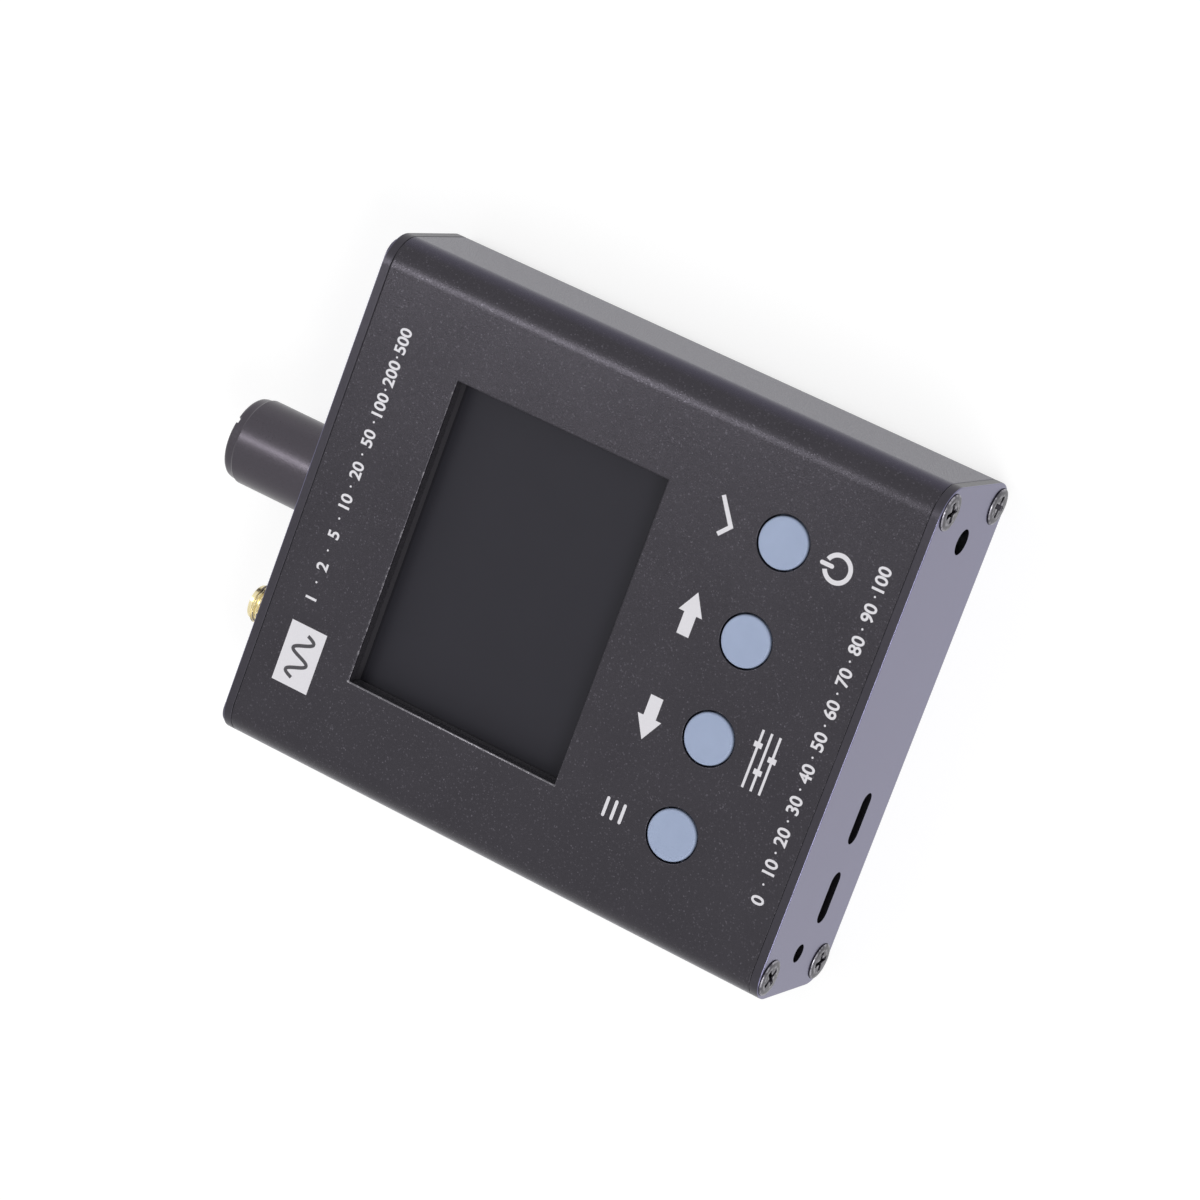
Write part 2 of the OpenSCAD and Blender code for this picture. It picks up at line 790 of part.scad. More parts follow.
// A chip on the main board's front: its place as a share of the case's half width and half
// length, a shift from there, and its size
module on_board(share, shift, size) {
    place = [share[0] * side_x, share[1] * sleeve_y] + shift;
    translate([place[0] - size[0] / 2, place[1] - size[1] / 2, main_top]) cube(size);
}

module microcontroller() {
    color(chip_black) on_board([0.2, 0.04], [0, 0], [processor_w, processor_w, processor_h]);
}

module support_chips() {
    size = [chip_len, chip_len * 0.8, chip_len * 0.3];
    color(chip_black) for (share = [[-0.2, 0.13], [-0.5, -0.38], [-0.2, -0.5]])
        on_board(share, [0, 0], size);
}

module crystal() {
    color(foil_silver) on_board([0.5, 0.17], [0, 0], [chip_len, chip_len * 0.64, chip_len * 0.24]);
}

module power_inductor() {
    color(steel) on_board([-0.4, -0.64], [0, 0], [inductor_w, inductor_w, inductor_w / 3]);
}

module small_capacitors() {
    size = [capacitor_len, capacitor_len * 0.62, capacitor_len * 0.45];
    color("#8c7355") for (i = [0:5], y = [-0.2, 0.32])
        on_board([-0.15, y], [i * capacitor_pitch, 0], size);
}

module small_resistors() {
    size = [resistor_len, resistor_len / 2, resistor_len * 0.3];
    color(chip_black) for (i = [0:6], y = [-0.26, 0.4])
        on_board([-0.5, y], [i * resistor_pitch, 0], size);
}

module buzzer() {
    y0 = end_gap - sleeve_y;
    color(black) difference() {
        block(
            [sound_x - buzzer_w / 2, y0, main_top],
            [sound_x + buzzer_w / 2, y0 + buzzer_w, main_top + buzzer_h]
        );
        rod_y(sound_x, main_top + buzzer_h / 2, y0 - cut, y0 + buzzer_w / 3, buzzer_h / 4);
    }
}

module charge_lamp() {
    color("#e8e4d8") translate([-lamp_x - lamp_w / 2, end_gap - sleeve_y, main_top])
        cube([lamp_w, lamp_w * 0.78, lamp_w * 0.72]);
}

module bridge_chip() {
    w = chip_len;
    h = chip_len * 0.18;
    color(chip_black)
        translate([shield_x0 + (shield_w - w) / 2, shield_y1 - (shield_len + w) / 2, main_board_z - h])
            cube([w, w, h]);
}

module shield_can() {
    color(foil_silver) difference() {
        block(
            [shield_x0, shield_y1 - shield_len, main_board_z - shield_h],
            [shield_x0 + shield_w, shield_y1, main_board_z]
        );
        block(
            [shield_x0 + shield_t, shield_y1 - shield_len + shield_t, main_board_z - shield_h + shield_t],
            [shield_x0 + shield_w - shield_t, shield_y1 - shield_t, main_board_z + cut]
        );
    }
}

// ---------------------------------------------------------------- battery

module battery_cell() {
    color(foil_silver) translate([battery_x, 0, battery_z0 + battery_r])
        along_y(battery_y0, battery_end_y) round_rect(battery_w, battery_t, battery_r - fit);
}

module battery_pad() {
    inset = battery_r + 2;
    color("#e8e4d8") block(
        [battery_x0 + inset, battery_y0 + 4, wall_t],
        [battery_x0 + battery_w - inset, battery_end_y - 4, battery_z0]
    );
}

module battery_socket() {
    x0 = socket_x - socket_w / 2;
    z0 = main_board_z - socket_h;
    color("#e8e4d8") difference() {
        block([x0, socket_y0, z0], [x0 + socket_w, socket_y0 + socket_len, main_board_z]);
        block(
            [x0 + socket_wall, socket_y0 + 2, z0 + socket_wall],
            [x0 + socket_w - socket_wall, socket_y0 + socket_len + cut, main_board_z - socket_wall]
        );
    }
}

module battery_plug() {
    inset = socket_wall + fit;
    x0 = socket_x - socket_w / 2 + inset;
    color("#f2f0ea") block(
        [x0, socket_y0 + 2 + fit, main_board_z - socket_h + inset],
        [x0 + socket_w - 2 * inset, socket_y0 + socket_len + plug_reach, main_board_z - inset]
    );
}

// The two leads leave the cell's end, turn up and come back into the plug
module battery_leads() {
    y_plug = socket_y0 + socket_len + plug_reach;
    z_low = battery_z0 + battery_t / 4;
    z_high = main_board_z - socket_h / 2;
    color("#b03030") for (side = [-1, 1]) {
        x = socket_x + side * lead_spread;
        wire([
            [x, battery_end_y, z_low], [x, y_plug + lead_back, z_low],
            [x, y_plug + lead_back, z_high], [x, y_plug, z_high]
        ], lead_d / 2);
    }
}

// ---------------------------------------------------------------- ports

module port_shells() {
    color(steel) for (x = port_x) difference() {
        block(
            [x - port_w / 2, port_y0, port_z1 - port_h],
            [x + port_w / 2, port_y0 + port_deep, port_z1]
        );
        block(
            [x - port_w / 2 + port_sheet, port_y0 - cut, port_z1 - port_h + port_sheet],
            [x + port_w / 2 - port_sheet, port_y0 + port_deep - port_sheet, port_z1 - port_sheet]
        );
    }
}

// The insulator of each socket: a block at its back and the tongue that carries the contacts
module port_tongues() {
    back_t = 1.6;
    back_y = port_y0 + port_deep - port_sheet - fit;
    gap = port_sheet + fit;
    color(black) for (x = port_x) {
        block(
            [x - port_w / 2 + gap, back_y - back_t, port_z1 - port_h + gap],
            [x + port_w / 2 - gap, back_y, port_z1 - gap]
        );
        block(
            [x - tongue_w / 2, port_y0 + 0.8, port_mid_z - tongue_t / 2],
            [x + tongue_w / 2, back_y - back_t, port_mid_z + tongue_t / 2]
        );
    }
}

// ---------------------------------------------------------------- antenna jack

module jack_body() {
    r = jack_d / 2;
    groove_y0 = plate_y + jack_washer_t + jack_nut_t - jack_groove_hidden;
    groove_y1 = groove_y0 + jack_groove_w;
    color(gold) difference() {
        union() {
            block(
                [-jack_x - jack_flange_w / 2, jack_back_y, jack_z - jack_flange_w / 2],
                [-jack_x + jack_flange_w / 2, sleeve_y, jack_z + jack_flange_w / 2]
            );
            rod_y(-jack_x, jack_z, sleeve_y, groove_y0, r);
            rod_y(-jack_x, jack_z, groove_y0, groove_y1, r - jack_groove_deep);
            rod_y(-jack_x, jack_z, groove_y1, jack_tip_y - jack_lead, r);
            rod_y(-jack_x, jack_z, jack_tip_y - jack_lead, jack_tip_y, jack_lead_d / 2);
            for (sx = [-1, 1], z = [main_top + fit, main_board_z - fit - jack_leg]) {
                x = -jack_x + sx * (jack_flange_w - jack_leg) / 2 - jack_leg / 2;
                translate([x, jack_back_y - jack_leg_len, z])
                    cube([jack_leg, jack_leg_len + fit, jack_leg]);
            }
        }
        rod_y(-jack_x, jack_z, jack_back_y - cut, jack_tip_y - jack_mouth_deep, insulator_d / 2 + fit);
        rod_y(-jack_x, jack_z, jack_tip_y - jack_mouth_deep, jack_tip_y + cut, jack_mouth_r);
    }
}

module jack_insulator() {
    color("#efece2") difference() {
        rod_y(-jack_x, jack_z, jack_back_y, jack_tip_y - jack_mouth_deep, insulator_d / 2);
        rod_y(-jack_x, jack_z, jack_back_y - cut, jack_tip_y, contact_d / 2 + fit);
    }
}

// The centre contact: a tail on the board, and a slotted socket at the mouth
module jack_contact() {
    tip_y = jack_tip_y - contact_recess;
    slot_w = 0.2;
    color(gold) difference() {
        union() {
            rod_y(-jack_x, jack_z, jack_back_y, tip_y, contact_d / 2);
            rod_y(-jack_x, jack_z, jack_back_y - jack_leg_len, jack_back_y, tail_r);
        }
        rod_y(-jack_x, jack_z, tip_y - contact_bore_deep, tip_y + cut, contact_bore_r);
        translate([-jack_x - contact_d, tip_y - contact_bore_deep / 2, jack_z - slot_w / 2])
            cube([2 * contact_d, contact_bore_deep, slot_w]);
    }
}

module jack_washer() {
    color(gold) difference() {
        rod_y(-jack_x, jack_z, plate_y, plate_y + jack_washer_t, jack_nut_af / 2 + 0.6);
        rod_y(-jack_x, jack_z, plate_y - cut, plate_y + jack_washer_t + cut, jack_d / 2 + fit);
    }
}

module jack_nut() {
    y0 = plate_y + jack_washer_t;
    color(gold) difference() {
        hex_y(-jack_x, jack_z, y0, y0 + jack_nut_t, jack_nut_af);
        rod_y(-jack_x, jack_z, y0 - cut, y0 + jack_nut_t + cut, jack_d / 2 + fit);
    }
}

// ---------------------------------------------------------------- encoder and knob

module encoder_base() {
    color(black) difference() {
        block(
            [-encoder_w / 2, encoder_back_y, knob_z - encoder_h / 2],
            [encoder_w / 2, encoder_face_y, knob_z + encoder_h / 2]
        );
        rod_y(0, knob_z, rotor_cavity_y, encoder_face_y + cut, rotor_r + rotor_play);
        rod_y(0, knob_z, well_floor_y, rotor_cavity_y + cut / 2, shaft_d / 2 + run_fit);
    }
}

// The metal face with its threaded bushing and the two clamps that hold the base
module encoder_face() {
    x = encoder_w / 2 + fit;
    color(steel) difference() {
        union() {
            block(
                [-x - encoder_clamp_t, encoder_face_y, knob_z - encoder_h / 2],
                [x + encoder_clamp_t, sleeve_y, knob_z + encoder_h / 2]
            );
            rod_y(0, knob_z, sleeve_y, bushing_tip_y, bushing_d / 2);
            for (x0 = [-x - encoder_clamp_t, x])
                translate([x0, encoder_back_y, knob_z - encoder_h / 4])
                    cube([encoder_clamp_t, encoder_base_t + fit, encoder_h / 2]);
        }
        rod_y(0, knob_z, encoder_face_y - cut, bushing_tip_y + cut, shaft_d / 2 + run_fit);
    }
}

// Places of the encoder's terminals: three on one side and two on the other, as [x, side]
terminal_places = [
    [-terminal_pitch, -1], [0, -1], [terminal_pitch, -1], [-terminal_pitch, 1], [terminal_pitch, 1]
];

module encoder_terminals() {
    color(steel) for (p = terminal_places) translate([p[0] - terminal_w / 2, 0, knob_z]) {
        mirror([0, 0, p[1] < 0 ? 1 : 0]) {
            translate([0, encoder_back_y + 1, encoder_h / 2])
                cube([terminal_w, terminal_t, terminal_reach - encoder_h / 2]);
            translate([0, encoder_board_y - 0.5, terminal_reach - terminal_t])
                cube([terminal_w, encoder_back_y + 1.5 - encoder_board_y + terminal_t, terminal_t]);
        }
    }
}

module encoder_dome() {
    h = plunger_disc_y - well_floor_y - push_travel - dome_gap;
    color(steel) translate([0, well_floor_y, knob_z]) rotate([-90, 0, 0])
        snap_dome(plunger_disc_r - 0.5, h);
}

module encoder_board() {
    hole_z = terminal_reach - terminal_t / 2;
    color(board_green) difference() {
        block(
            [-encoder_board_w / 2, encoder_board_y, encoder_board_z0],
            [encoder_board_w / 2, encoder_back_y, encoder_board_z1]
        );
        for (p = terminal_places)
            rod_y(p[0], knob_z + p[1] * hole_z, encoder_board_y - cut, encoder_back_y + cut,
                terminal_hole_r);
        at_header_pins() rod_y(0, 0, encoder_board_y - cut, encoder_back_y + cut, header_pitch / 5);
    }
}

// Places of the header's pins, in X and Z
module at_header_pins() {
    for (i = [0:header_pins - 1])
        translate([(i - (header_pins - 1) / 2) * header_pitch, 0, header_pin_z]) children();
}

// The angled header that joins the encoder's board to the underside of the main board
module encoder_header() {
    half_w = header_pins * header_pitch / 2;
    pin_w = header_pitch / 4;
    pin_y0 = header_y1 - header_pitch / 5;
    color(black) {
        block(
            [-half_w, header_y1 - header_pitch, main_board_z - header_pitch],
            [half_w, header_y1, main_board_z]
        );
        at_header_pins()
            translate([-pin_w / 2, pin_y0, -pin_w / 2]) cube([pin_w, encoder_back_y - fit - pin_y0, pin_w]);
    }
}

module encoder_washer() {
    color(steel) difference() {
        rod_y(0, knob_z, plate_y, plate_y + washer_t, bushing_d / 2 + washer_rim);
        rod_y(0, knob_z, plate_y - cut, plate_y + washer_t + cut, bushing_d / 2 + fit);
    }
}

module encoder_nut() {
    y0 = plate_y + washer_t;
    color(steel) difference() {
        hex_y(0, knob_z, y0, y0 + encoder_nut_t, encoder_nut_af);
        rod_y(0, knob_z, y0 - cut, y0 + encoder_nut_t + cut, bushing_d / 2 + fit);
    }
}

// The disc that the shaft pushes against the dome
module encoder_plunger() {
    color(chip_black) rod_y(0, knob_z, plunger_disc_y, plunger_disc_y + plunger_disc_t, plunger_disc_r);
}

module encoder_rotor() {
    color(chip_black) difference() {
        rod_y(0, knob_z, rotor_y, rotor_y + rotor_t, rotor_r);
        rod_y(0, knob_z, rotor_y - cut, rotor_y + rotor_t + cut, shaft_d / 2 + run_fit);
    }
}

// The outline of the shaft's flatted tip, grown by a clearance
module flatted_rod(y_low, y_high, gap) {
    r = shaft_d / 2 + gap;
    difference() {
        rod_y(0, knob_z, y_low, y_high, r);
        block(
            [-shaft_d, y_low - cut, knob_z + shaft_d / 2 - flat_cut + gap],
            [shaft_d, y_high + cut, knob_z + shaft_d]
        );
    }
}

module encoder_shaft() {
    color(steel) {
        rod_y(0, knob_z, shaft_end_y, flat_start_y, shaft_d / 2);
        flatted_rod(flat_start_y - fit, shaft_tip_y, 0);
    }
}

module knob_shell() {
    color(black) difference() {
        union() {
            rod_y(0, knob_z, knob_y0, knob_y1 - knob_bevel_len, knob_r);
            translate([0, knob_y1 - knob_bevel_len, knob_z]) rotate([-90, 0, 0])
                cylinder(r1 = knob_r - 0.12, r2 = knob_r - knob_bevel, h = knob_bevel_len);
        }
        rod_y(0, knob_z, knob_y0 - cut, knob_recess_y, knob_r - knob_wall);
        rod_y(0, knob_z, knob_y0 - cut, core_y1 + fit, core_r + fit);
        translate([0, knob_y1 - pointer_deep, knob_z]) rotate([0, -pointer_angle, 0])
            translate([knob_r / 2, 0, -pointer_w / 2]) cube([knob_r, pointer_deep + cut, pointer_w]);
    }
}

module knob_core() {
    color(chip_black) difference() {
        rod_y(0, knob_z, knob_recess_y + fit, core_y1, core_r);
        rod_y(0, knob_z, knob_recess_y - cut, core_pocket_y, bushing_d / 2 + 0.3);
        flatted_rod(core_pocket_y - fit, shaft_tip_y + fit, fit / 2);
    }
}

// ---------------------------------------------------------------- the parts

case_sleeve();
top_end_plate();
bottom_end_plate();
end_plate_screws();
display_bezel();
display_glass();
display_backlight();
display_flex();
display_flex_socket();
display_board();
board_spacers();
spacer_screws();
board_connector();
power_key_cap();
right_key_cap();
left_key_cap();
menu_key_cap();
power_key_plunger();
right_key_plunger();
left_key_plunger();
menu_key_plunger();
key_switch_bodies();
key_switch_covers();
key_switch_domes();
main_board();
microcontroller();
support_chips();
crystal();
power_inductor();
small_capacitors();
small_resistors();
buzzer();
charge_lamp();
bridge_chip();
shield_can();
battery_cell();
battery_pad();
battery_leads();
battery_plug();
battery_socket();
port_shells();
port_tongues();
jack_body();
jack_insulator();
jack_contact();
jack_washer();
jack_nut();
encoder_base();
encoder_face();
encoder_terminals();
encoder_dome();
encoder_board();
encoder_header();
encoder_washer();
encoder_nut();
encoder_plunger();
encoder_rotor();
encoder_shaft();
knob_shell();
knob_core();
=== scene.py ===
# %% [markdown]
# # A handheld antenna analyzer, dressed for its picture
#
# The instrument is an extruded metal case, closed by two screwed end plates. A display sits deep
# behind a window, four round keys fill their holes, and a black knob and a gold jack stand on the
# end plate that points away from the reader.
#
# The solids come ready made, in metres, with the origin at the centre of the back face, +X to the
# reader's right, +Y to the end with the knob, and +Z out of the display. Every cell below either
# models a visible piece again with finer edges, or gives a solid its finish.

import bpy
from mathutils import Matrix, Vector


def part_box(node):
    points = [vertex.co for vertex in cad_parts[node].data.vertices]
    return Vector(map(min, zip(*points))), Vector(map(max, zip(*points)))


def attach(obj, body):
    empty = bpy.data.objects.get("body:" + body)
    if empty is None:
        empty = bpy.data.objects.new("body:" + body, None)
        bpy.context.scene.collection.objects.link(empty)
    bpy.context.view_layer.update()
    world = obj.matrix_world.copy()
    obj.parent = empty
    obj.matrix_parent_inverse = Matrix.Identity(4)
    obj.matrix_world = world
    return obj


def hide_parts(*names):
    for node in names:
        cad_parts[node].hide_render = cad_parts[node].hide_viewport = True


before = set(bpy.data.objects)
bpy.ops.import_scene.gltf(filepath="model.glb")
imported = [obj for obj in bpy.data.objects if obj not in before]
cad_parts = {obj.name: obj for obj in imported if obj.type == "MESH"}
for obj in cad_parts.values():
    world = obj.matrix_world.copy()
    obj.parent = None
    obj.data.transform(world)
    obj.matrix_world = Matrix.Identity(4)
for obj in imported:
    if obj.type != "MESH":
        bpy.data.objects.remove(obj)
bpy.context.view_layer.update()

# %% Sizes that the pieces share
import math

import bmesh
import bpy
from mathutils import Euler, Vector

MM = 0.001


def span(node):
    """The lowest and the highest corner of a solid, in millimetres."""
    low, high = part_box(node)
    return low / MM, high / MM


case_low, case_high = span("case_sleeve")
plate_low, plate_high = span("top_end_plate")
case_w = case_high.x - case_low.x
case_t = case_high.z
edge_r = 5.0        # radius of the four long edges
wall = 2.0          # thickness of the sleeve
print("case", round(case_w, 2), "x", round(2 * plate_high.y, 2), "x", round(case_t, 2), "mm")

# %% [markdown]
# ## The camera
#
# The photograph was taken with a long lens from above, with the camera rolled so that the case lies
# across the frame. Its place and its turn were worked out from the straight edges of the case and
# of the window, so here they are only typed in. A long lens keeps the far end nearly as large as
# the near one.

# %% Place the camera
film_width, focal_length = 36, 143.595
camera_place = (164.75, -266.288, 660.642)
camera_turn = (-4.0441, 25.5597, -67.8011)
lens = bpy.data.cameras.new("camera")
lens.sensor_width = film_width
lens.lens = focal_length
camera = bpy.data.objects.new("camera", lens)
camera.location = Vector(camera_place) * MM
camera.rotation_euler = Euler([math.radians(a) for a in camera_turn])
bpy.context.scene.collection.objects.link(camera)
bpy.context.scene.camera = camera
print("camera", [round(v / MM) for v in camera.location], "mm away from the back face's centre")

# %% [markdown]
# ## A wrapper for shader sums
#
# A finish is a chain of small sums: a grain, times a strength, plus a base. Written with nodes
# alone that takes many lines, so a socket is wrapped in a class that knows plus, minus, times and
# the size without its sign. Each sum then adds its own Math node. Every other node comes from one
# method.

# %% Socket values, shades and paints
class Value:
    """A socket's output that can be used in sums."""

    def __init__(self, shades, socket):
        self.shades, self.socket = shades, socket

    def sum(self, operation, first, second):
        return self.shades.node("ShaderNodeMath", {0: first, 1: second}, operation=operation)

    def __add__(self, other):
        return self.sum("ADD", self, other)

    def __sub__(self, other):
        return self.sum("SUBTRACT", self, other)

    def __rsub__(self, other):
        return self.sum("SUBTRACT", other, self)

    def __mul__(self, other):
        return self.sum("MULTIPLY", self, other)

    def __abs__(self):
        return self.sum("ABSOLUTE", self, 0.0)

    def __gt__(self, other):
        return self.sum("GREATER_THAN", self, other)

    __radd__ = __add__
    __rmul__ = __mul__


class Shades:
    """A node tree that grows by one node a call."""

    def __init__(self, tree):
        self.tree = tree

    def plug(self, socket, value):
        if isinstance(value, Value):
            self.tree.links.new(value.socket, socket)
        elif socket.type == "RGBA":
            socket.default_value = (*value, 1)
        else:
            socket.default_value = value

    def node(self, kind, sockets=None, out=0, stops=None, **settings):
        made = self.tree.nodes.new(kind)
        for name, value in settings.items():
            setattr(made, name, value)
        if stops:
            ramp = made.color_ramp.elements
            while len(ramp) < len(stops):
                ramp.new(0.5)
            for stop, (at, grey) in zip(ramp, stops):
                stop.position, stop.color = at, (grey, grey, grey, 1)
        for name, value in (sockets or {}).items():
            self.plug(made.inputs[name], value)
        return Value(self, made.outputs[out])

    def level(self, value, *stops):
        return self.node("ShaderNodeValToRGB", {"Fac": value}, stops=stops)

    def mix(self, share, low, high):
        return self.node("ShaderNodeMix", {0: share, 6: low, 7: high}, out=2, data_type="RGBA")

    def most(self, first, second):
        """The larger of two numbers."""
        return self.node("ShaderNodeMath", {0: first, 1: second}, operation="MAXIMUM")

    def seen(self, *rays):
        """1 for the kinds of ray that are named, such as Camera or Glossy."""
        found = 0.0
        for ray in rays:
            found = self.most(self.node("ShaderNodeLightPath", out=f"Is {ray} Ray"), found)
        return found


class Paint(Shades):
    """A material that is made from noises, sums and one main shader."""

    def __init__(self, name, **constants):
        self.material = bpy.data.materials.new(name)
        self.material.use_nodes = True
        super().__init__(self.material.node_tree)
        self.shader = self.tree.nodes["Principled BSDF"]
        self.place = self.node("ShaderNodeTexCoord", out="Object")
        self.set(**constants)

    def set(self, **sockets):
        for name, value in sockets.items():
            self.plug(self.shader.inputs[name.replace("_", " ")], value)
        return self

    def noise(self, size, detail=2.0, where=None):
        """A soft grain from 0 to 1, with grains of the given size in millimetres."""
        return self.node("ShaderNodeTexNoise", {
            "Vector": where or self.place, "Scale": 1 / (size * MM), "Detail": detail})

    def cells(self, size):
        """Small cells, each with one random value."""
        return self.node("ShaderNodeTexVoronoi", {
            "Vector": self.place, "Scale": 1 / (size * MM)}, out="Color")

    def axis(self, name):
        return self.node("ShaderNodeSeparateXYZ", {0: self.place}, out=name)

    def relief(self, height, depth, strength=1.0):
        """Bumps of the given depth in millimetres."""
        bump = self.node("ShaderNodeBump", {
            "Strength": strength, "Distance": depth * MM, "Height": height})
        return self.set(Normal=bump)


def colour(code):
    """A web colour as the linear numbers that a shader takes."""
    parts = [int(code[i:i + 2], 16) / 255 for i in (0, 2, 4)]
    return tuple(p / 12.92 if p <= 0.04045 else ((p + 0.055) / 1.055) ** 2.4 for p in parts)


def around(tone, spread):
    """A colour a little darker and a little lighter than the given one."""
    return [c * (1 - spread) for c in tone], [min(1, c * (1 + spread)) for c in tone]


print("a web colour in linear numbers:", [round(c, 3) for c in colour("3f3d42")])

# %% [markdown]
# ## Selecting and shaping
#
# All pieces are shaped with the same tools that a modeller has under the hand: extrude, scale,
# bevel, delete, and Booleans for holes. The tools act on what is selected, so a few helpers empty
# the selection, pick faces or edges by their place, and apply what a tool leaves open.

# %% Helpers for modelling
def choose(piece):
    """Makes one object the only selected one."""
    if bpy.context.mode != "OBJECT":
        bpy.ops.object.mode_set(mode="OBJECT")
    bpy.ops.object.select_all(action="DESELECT")
    piece.select_set(True)
    bpy.context.view_layer.objects.active = piece
    return piece


def settle(piece):
    """Moves an object's place, turn and scale into its mesh."""
    choose(piece)
    bpy.ops.object.transform_apply(location=True, rotation=True, scale=True)
    return piece


def pick(piece, kind, test):
    """Opens a piece for editing, with only the faces or edges that pass a test selected."""
    choose(piece)
    bpy.ops.object.mode_set(mode="EDIT")
    bpy.ops.mesh.select_mode(type=kind)
    bpy.ops.mesh.select_all(action="DESELECT")
    mesh = bmesh.from_edit_mesh(piece.data)
    items = {"FACE": mesh.faces, "EDGE": mesh.edges, "VERT": mesh.verts}[kind]
    for item in items:
        if test(item):
            item.select_set(True)
    bmesh.update_edit_mesh(piece.data)


def ends(edge, axis):
    """Both ends of an edge along one axis, in millimetres."""
    return [vert.co[axis] / MM for vert in edge.verts]


def close_up(piece, angle=35):
    """Merges doubles, turns all faces outwards and shades the piece smooth up to an angle."""
    pick(piece, "VERT", lambda vert: True)
    bpy.ops.mesh.remove_doubles(threshold=0.000002)
    bpy.ops.mesh.select_all(action="SELECT")
    bpy.ops.mesh.normals_make_consistent(inside=False)
    bpy.ops.object.mode_set(mode="OBJECT")
    bpy.ops.object.shade_smooth_by_angle(angle=math.radians(angle))
    return piece


def block(name, low, high):
    """A box between two corners, in millimetres, as a start for a piece or a cutter."""
    low, high = Vector(low) * MM, Vector(high) * MM
    bpy.ops.mesh.primitive_cube_add(size=1, location=(low + high) / 2, scale=high - low)
    bpy.context.object.name = name
    return settle(bpy.context.object)


def turned(name, rings, sides=64):
    """A turned piece: a disc, extruded and scaled from ring to ring, given as (radius, height)."""
    first = rings[0]
    bpy.ops.mesh.primitive_circle_add(
        vertices=sides, radius=first[0] * MM, fill_type="NGON", location=(0, 0, first[1] * MM))
    piece = bpy.context.object
    piece.name = name
    settle(piece)
    bpy.ops.object.mode_set(mode="EDIT")
    bpy.ops.mesh.select_all(action="SELECT")
    for (r0, z0), (r1, z1) in zip(rings, rings[1:]):
        bpy.ops.mesh.extrude_region_move(
            TRANSFORM_OT_translate={"value": (0, 0, (z1 - z0) * MM)})
        bpy.ops.transform.resize(value=(r1 / r0, r1 / r0, 1), center_override=(0, 0, z1 * MM))
    return close_up(piece)


def put(piece, place=(0, 0, 0), turn=(0, 0, 0)):
    """Turns a piece about the origin, in degrees, then moves it, in millimetres."""
    piece.rotation_euler = [math.radians(a) for a in turn]
    piece.location = Vector(place) * MM
    return settle(piece)


def twin(piece, name):
    """A copy of a piece with its own mesh."""
    copy = piece.copy()
    copy.data = piece.data.copy()
    copy.name = name
    bpy.context.scene.collection.objects.link(copy)
    return copy


def join(pieces, name):
    """Several pieces as one object."""
    choose(pieces[0])
    for piece in pieces:
        piece.select_set(True)
    bpy.ops.object.join()
    bpy.context.object.name = name
    return bpy.context.object


def carve(piece, tool, how="DIFFERENCE"):
    """Cuts a tool out of a piece, or joins it, and throws the tool away."""
    step = piece.modifiers.new("carve", "BOOLEAN")
    step.operation, step.object, step.solver = how, tool, "EXACT"
    choose(piece)
    bpy.ops.object.modifier_apply(modifier=step.name)
    bpy.data.objects.remove(tool)
    return piece


def finish_piece(piece, paint, body, *nodes):
    """Gives a piece its finish and its body, and lets it stand for its solids."""
    flats = piece.modifiers.new("flats", "WEIGHTED_NORMAL")
    flats.keep_sharp = True
    choose(piece)
    bpy.ops.object.modifier_apply(modifier="flats")
    piece.data.materials.clear()
    piece.data.materials.append(paint.material)
    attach(piece, body)
    if nodes:
        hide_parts(*nodes)
    print(piece.name, "has", len(piece.data.polygons), "faces")
    return piece


# %% [markdown]
# ## The metal of the case
#
# The case is aluminium, blasted with fine grit and anodised dark grey. Blasting leaves a surface
# of tiny facets, and here and there one of them flashes. So the finish is a metal with a fine
# grain in its relief and in its roughness, and cells the size of the grit, of which a few are
# painted lighter as painted glints. The end plates are cut from smooth sheet before they are dyed:
# their faces come out smoother, and they are painted paler and bluer than the rims, a painted
# reflection of the light that the faces mirror at a low angle. Their cut rims are as dark as the
# sleeve.

# %% Mix the anodised finish
def anodised(name, base, roughness, grit, glint_and_bump_strength, face=None):
    """Dark anodised metal, blasted with grit of the given size in millimetres.

    A second, paler and bluer colour for flat faces, a painted reflection, is used beyond the
    rims of the end plates.
    """
    paint = Paint(name, Metallic=1.0)
    grain = paint.noise(grit, 2.0)
    cloud = paint.noise(12, 2.0) * 0.5 + paint.noise(0.5, 3.0) * 0.5
    # painted glints: a few cells the size of the grit are picked to be painted lighter
    glint_cells = paint.level(paint.cells(grit), (0.0, 0.0), (0.8, 0.0), (1.0, 1.0))
    tone = paint.mix(cloud, *around(base, 0.2))
    rough = roughness + (grain - 0.5) * 0.25
    # painted reflection: the plates' flat faces get a paler, bluer colour than their rims, for the
    # light they mirror at a low angle; they are also smoother
    if face:
        on_face = abs(paint.axis("Y")) > (plate_high.y - plate_edge - 0.005) * MM
        tone = paint.mix(on_face, tone, paint.mix(cloud, *around(face, 0.04)))
        rough = rough - on_face * 0.12
    # painted glints: the picked cells take a colour three times as light as the base
    paint.tone = paint.mix(glint_cells * glint_and_bump_strength, tone, [c * 3 for c in base])
    return paint.set(Base_Color=paint.tone, Roughness=rough).relief(grain, 0.03, glint_and_bump_strength)


plate_edge = 0.13   # bevel on the rims of the end plates
case_paint = anodised("case_anodised", colour("3f3d42"), 0.3, 0.18, 0.7)
# the pale blue last colour is the plates' painted reflection
plate_paint = anodised("plate_anodised", colour("424046"), 0.34, 0.1, 0.15, colour("716f88"))
print("case finishes ready")

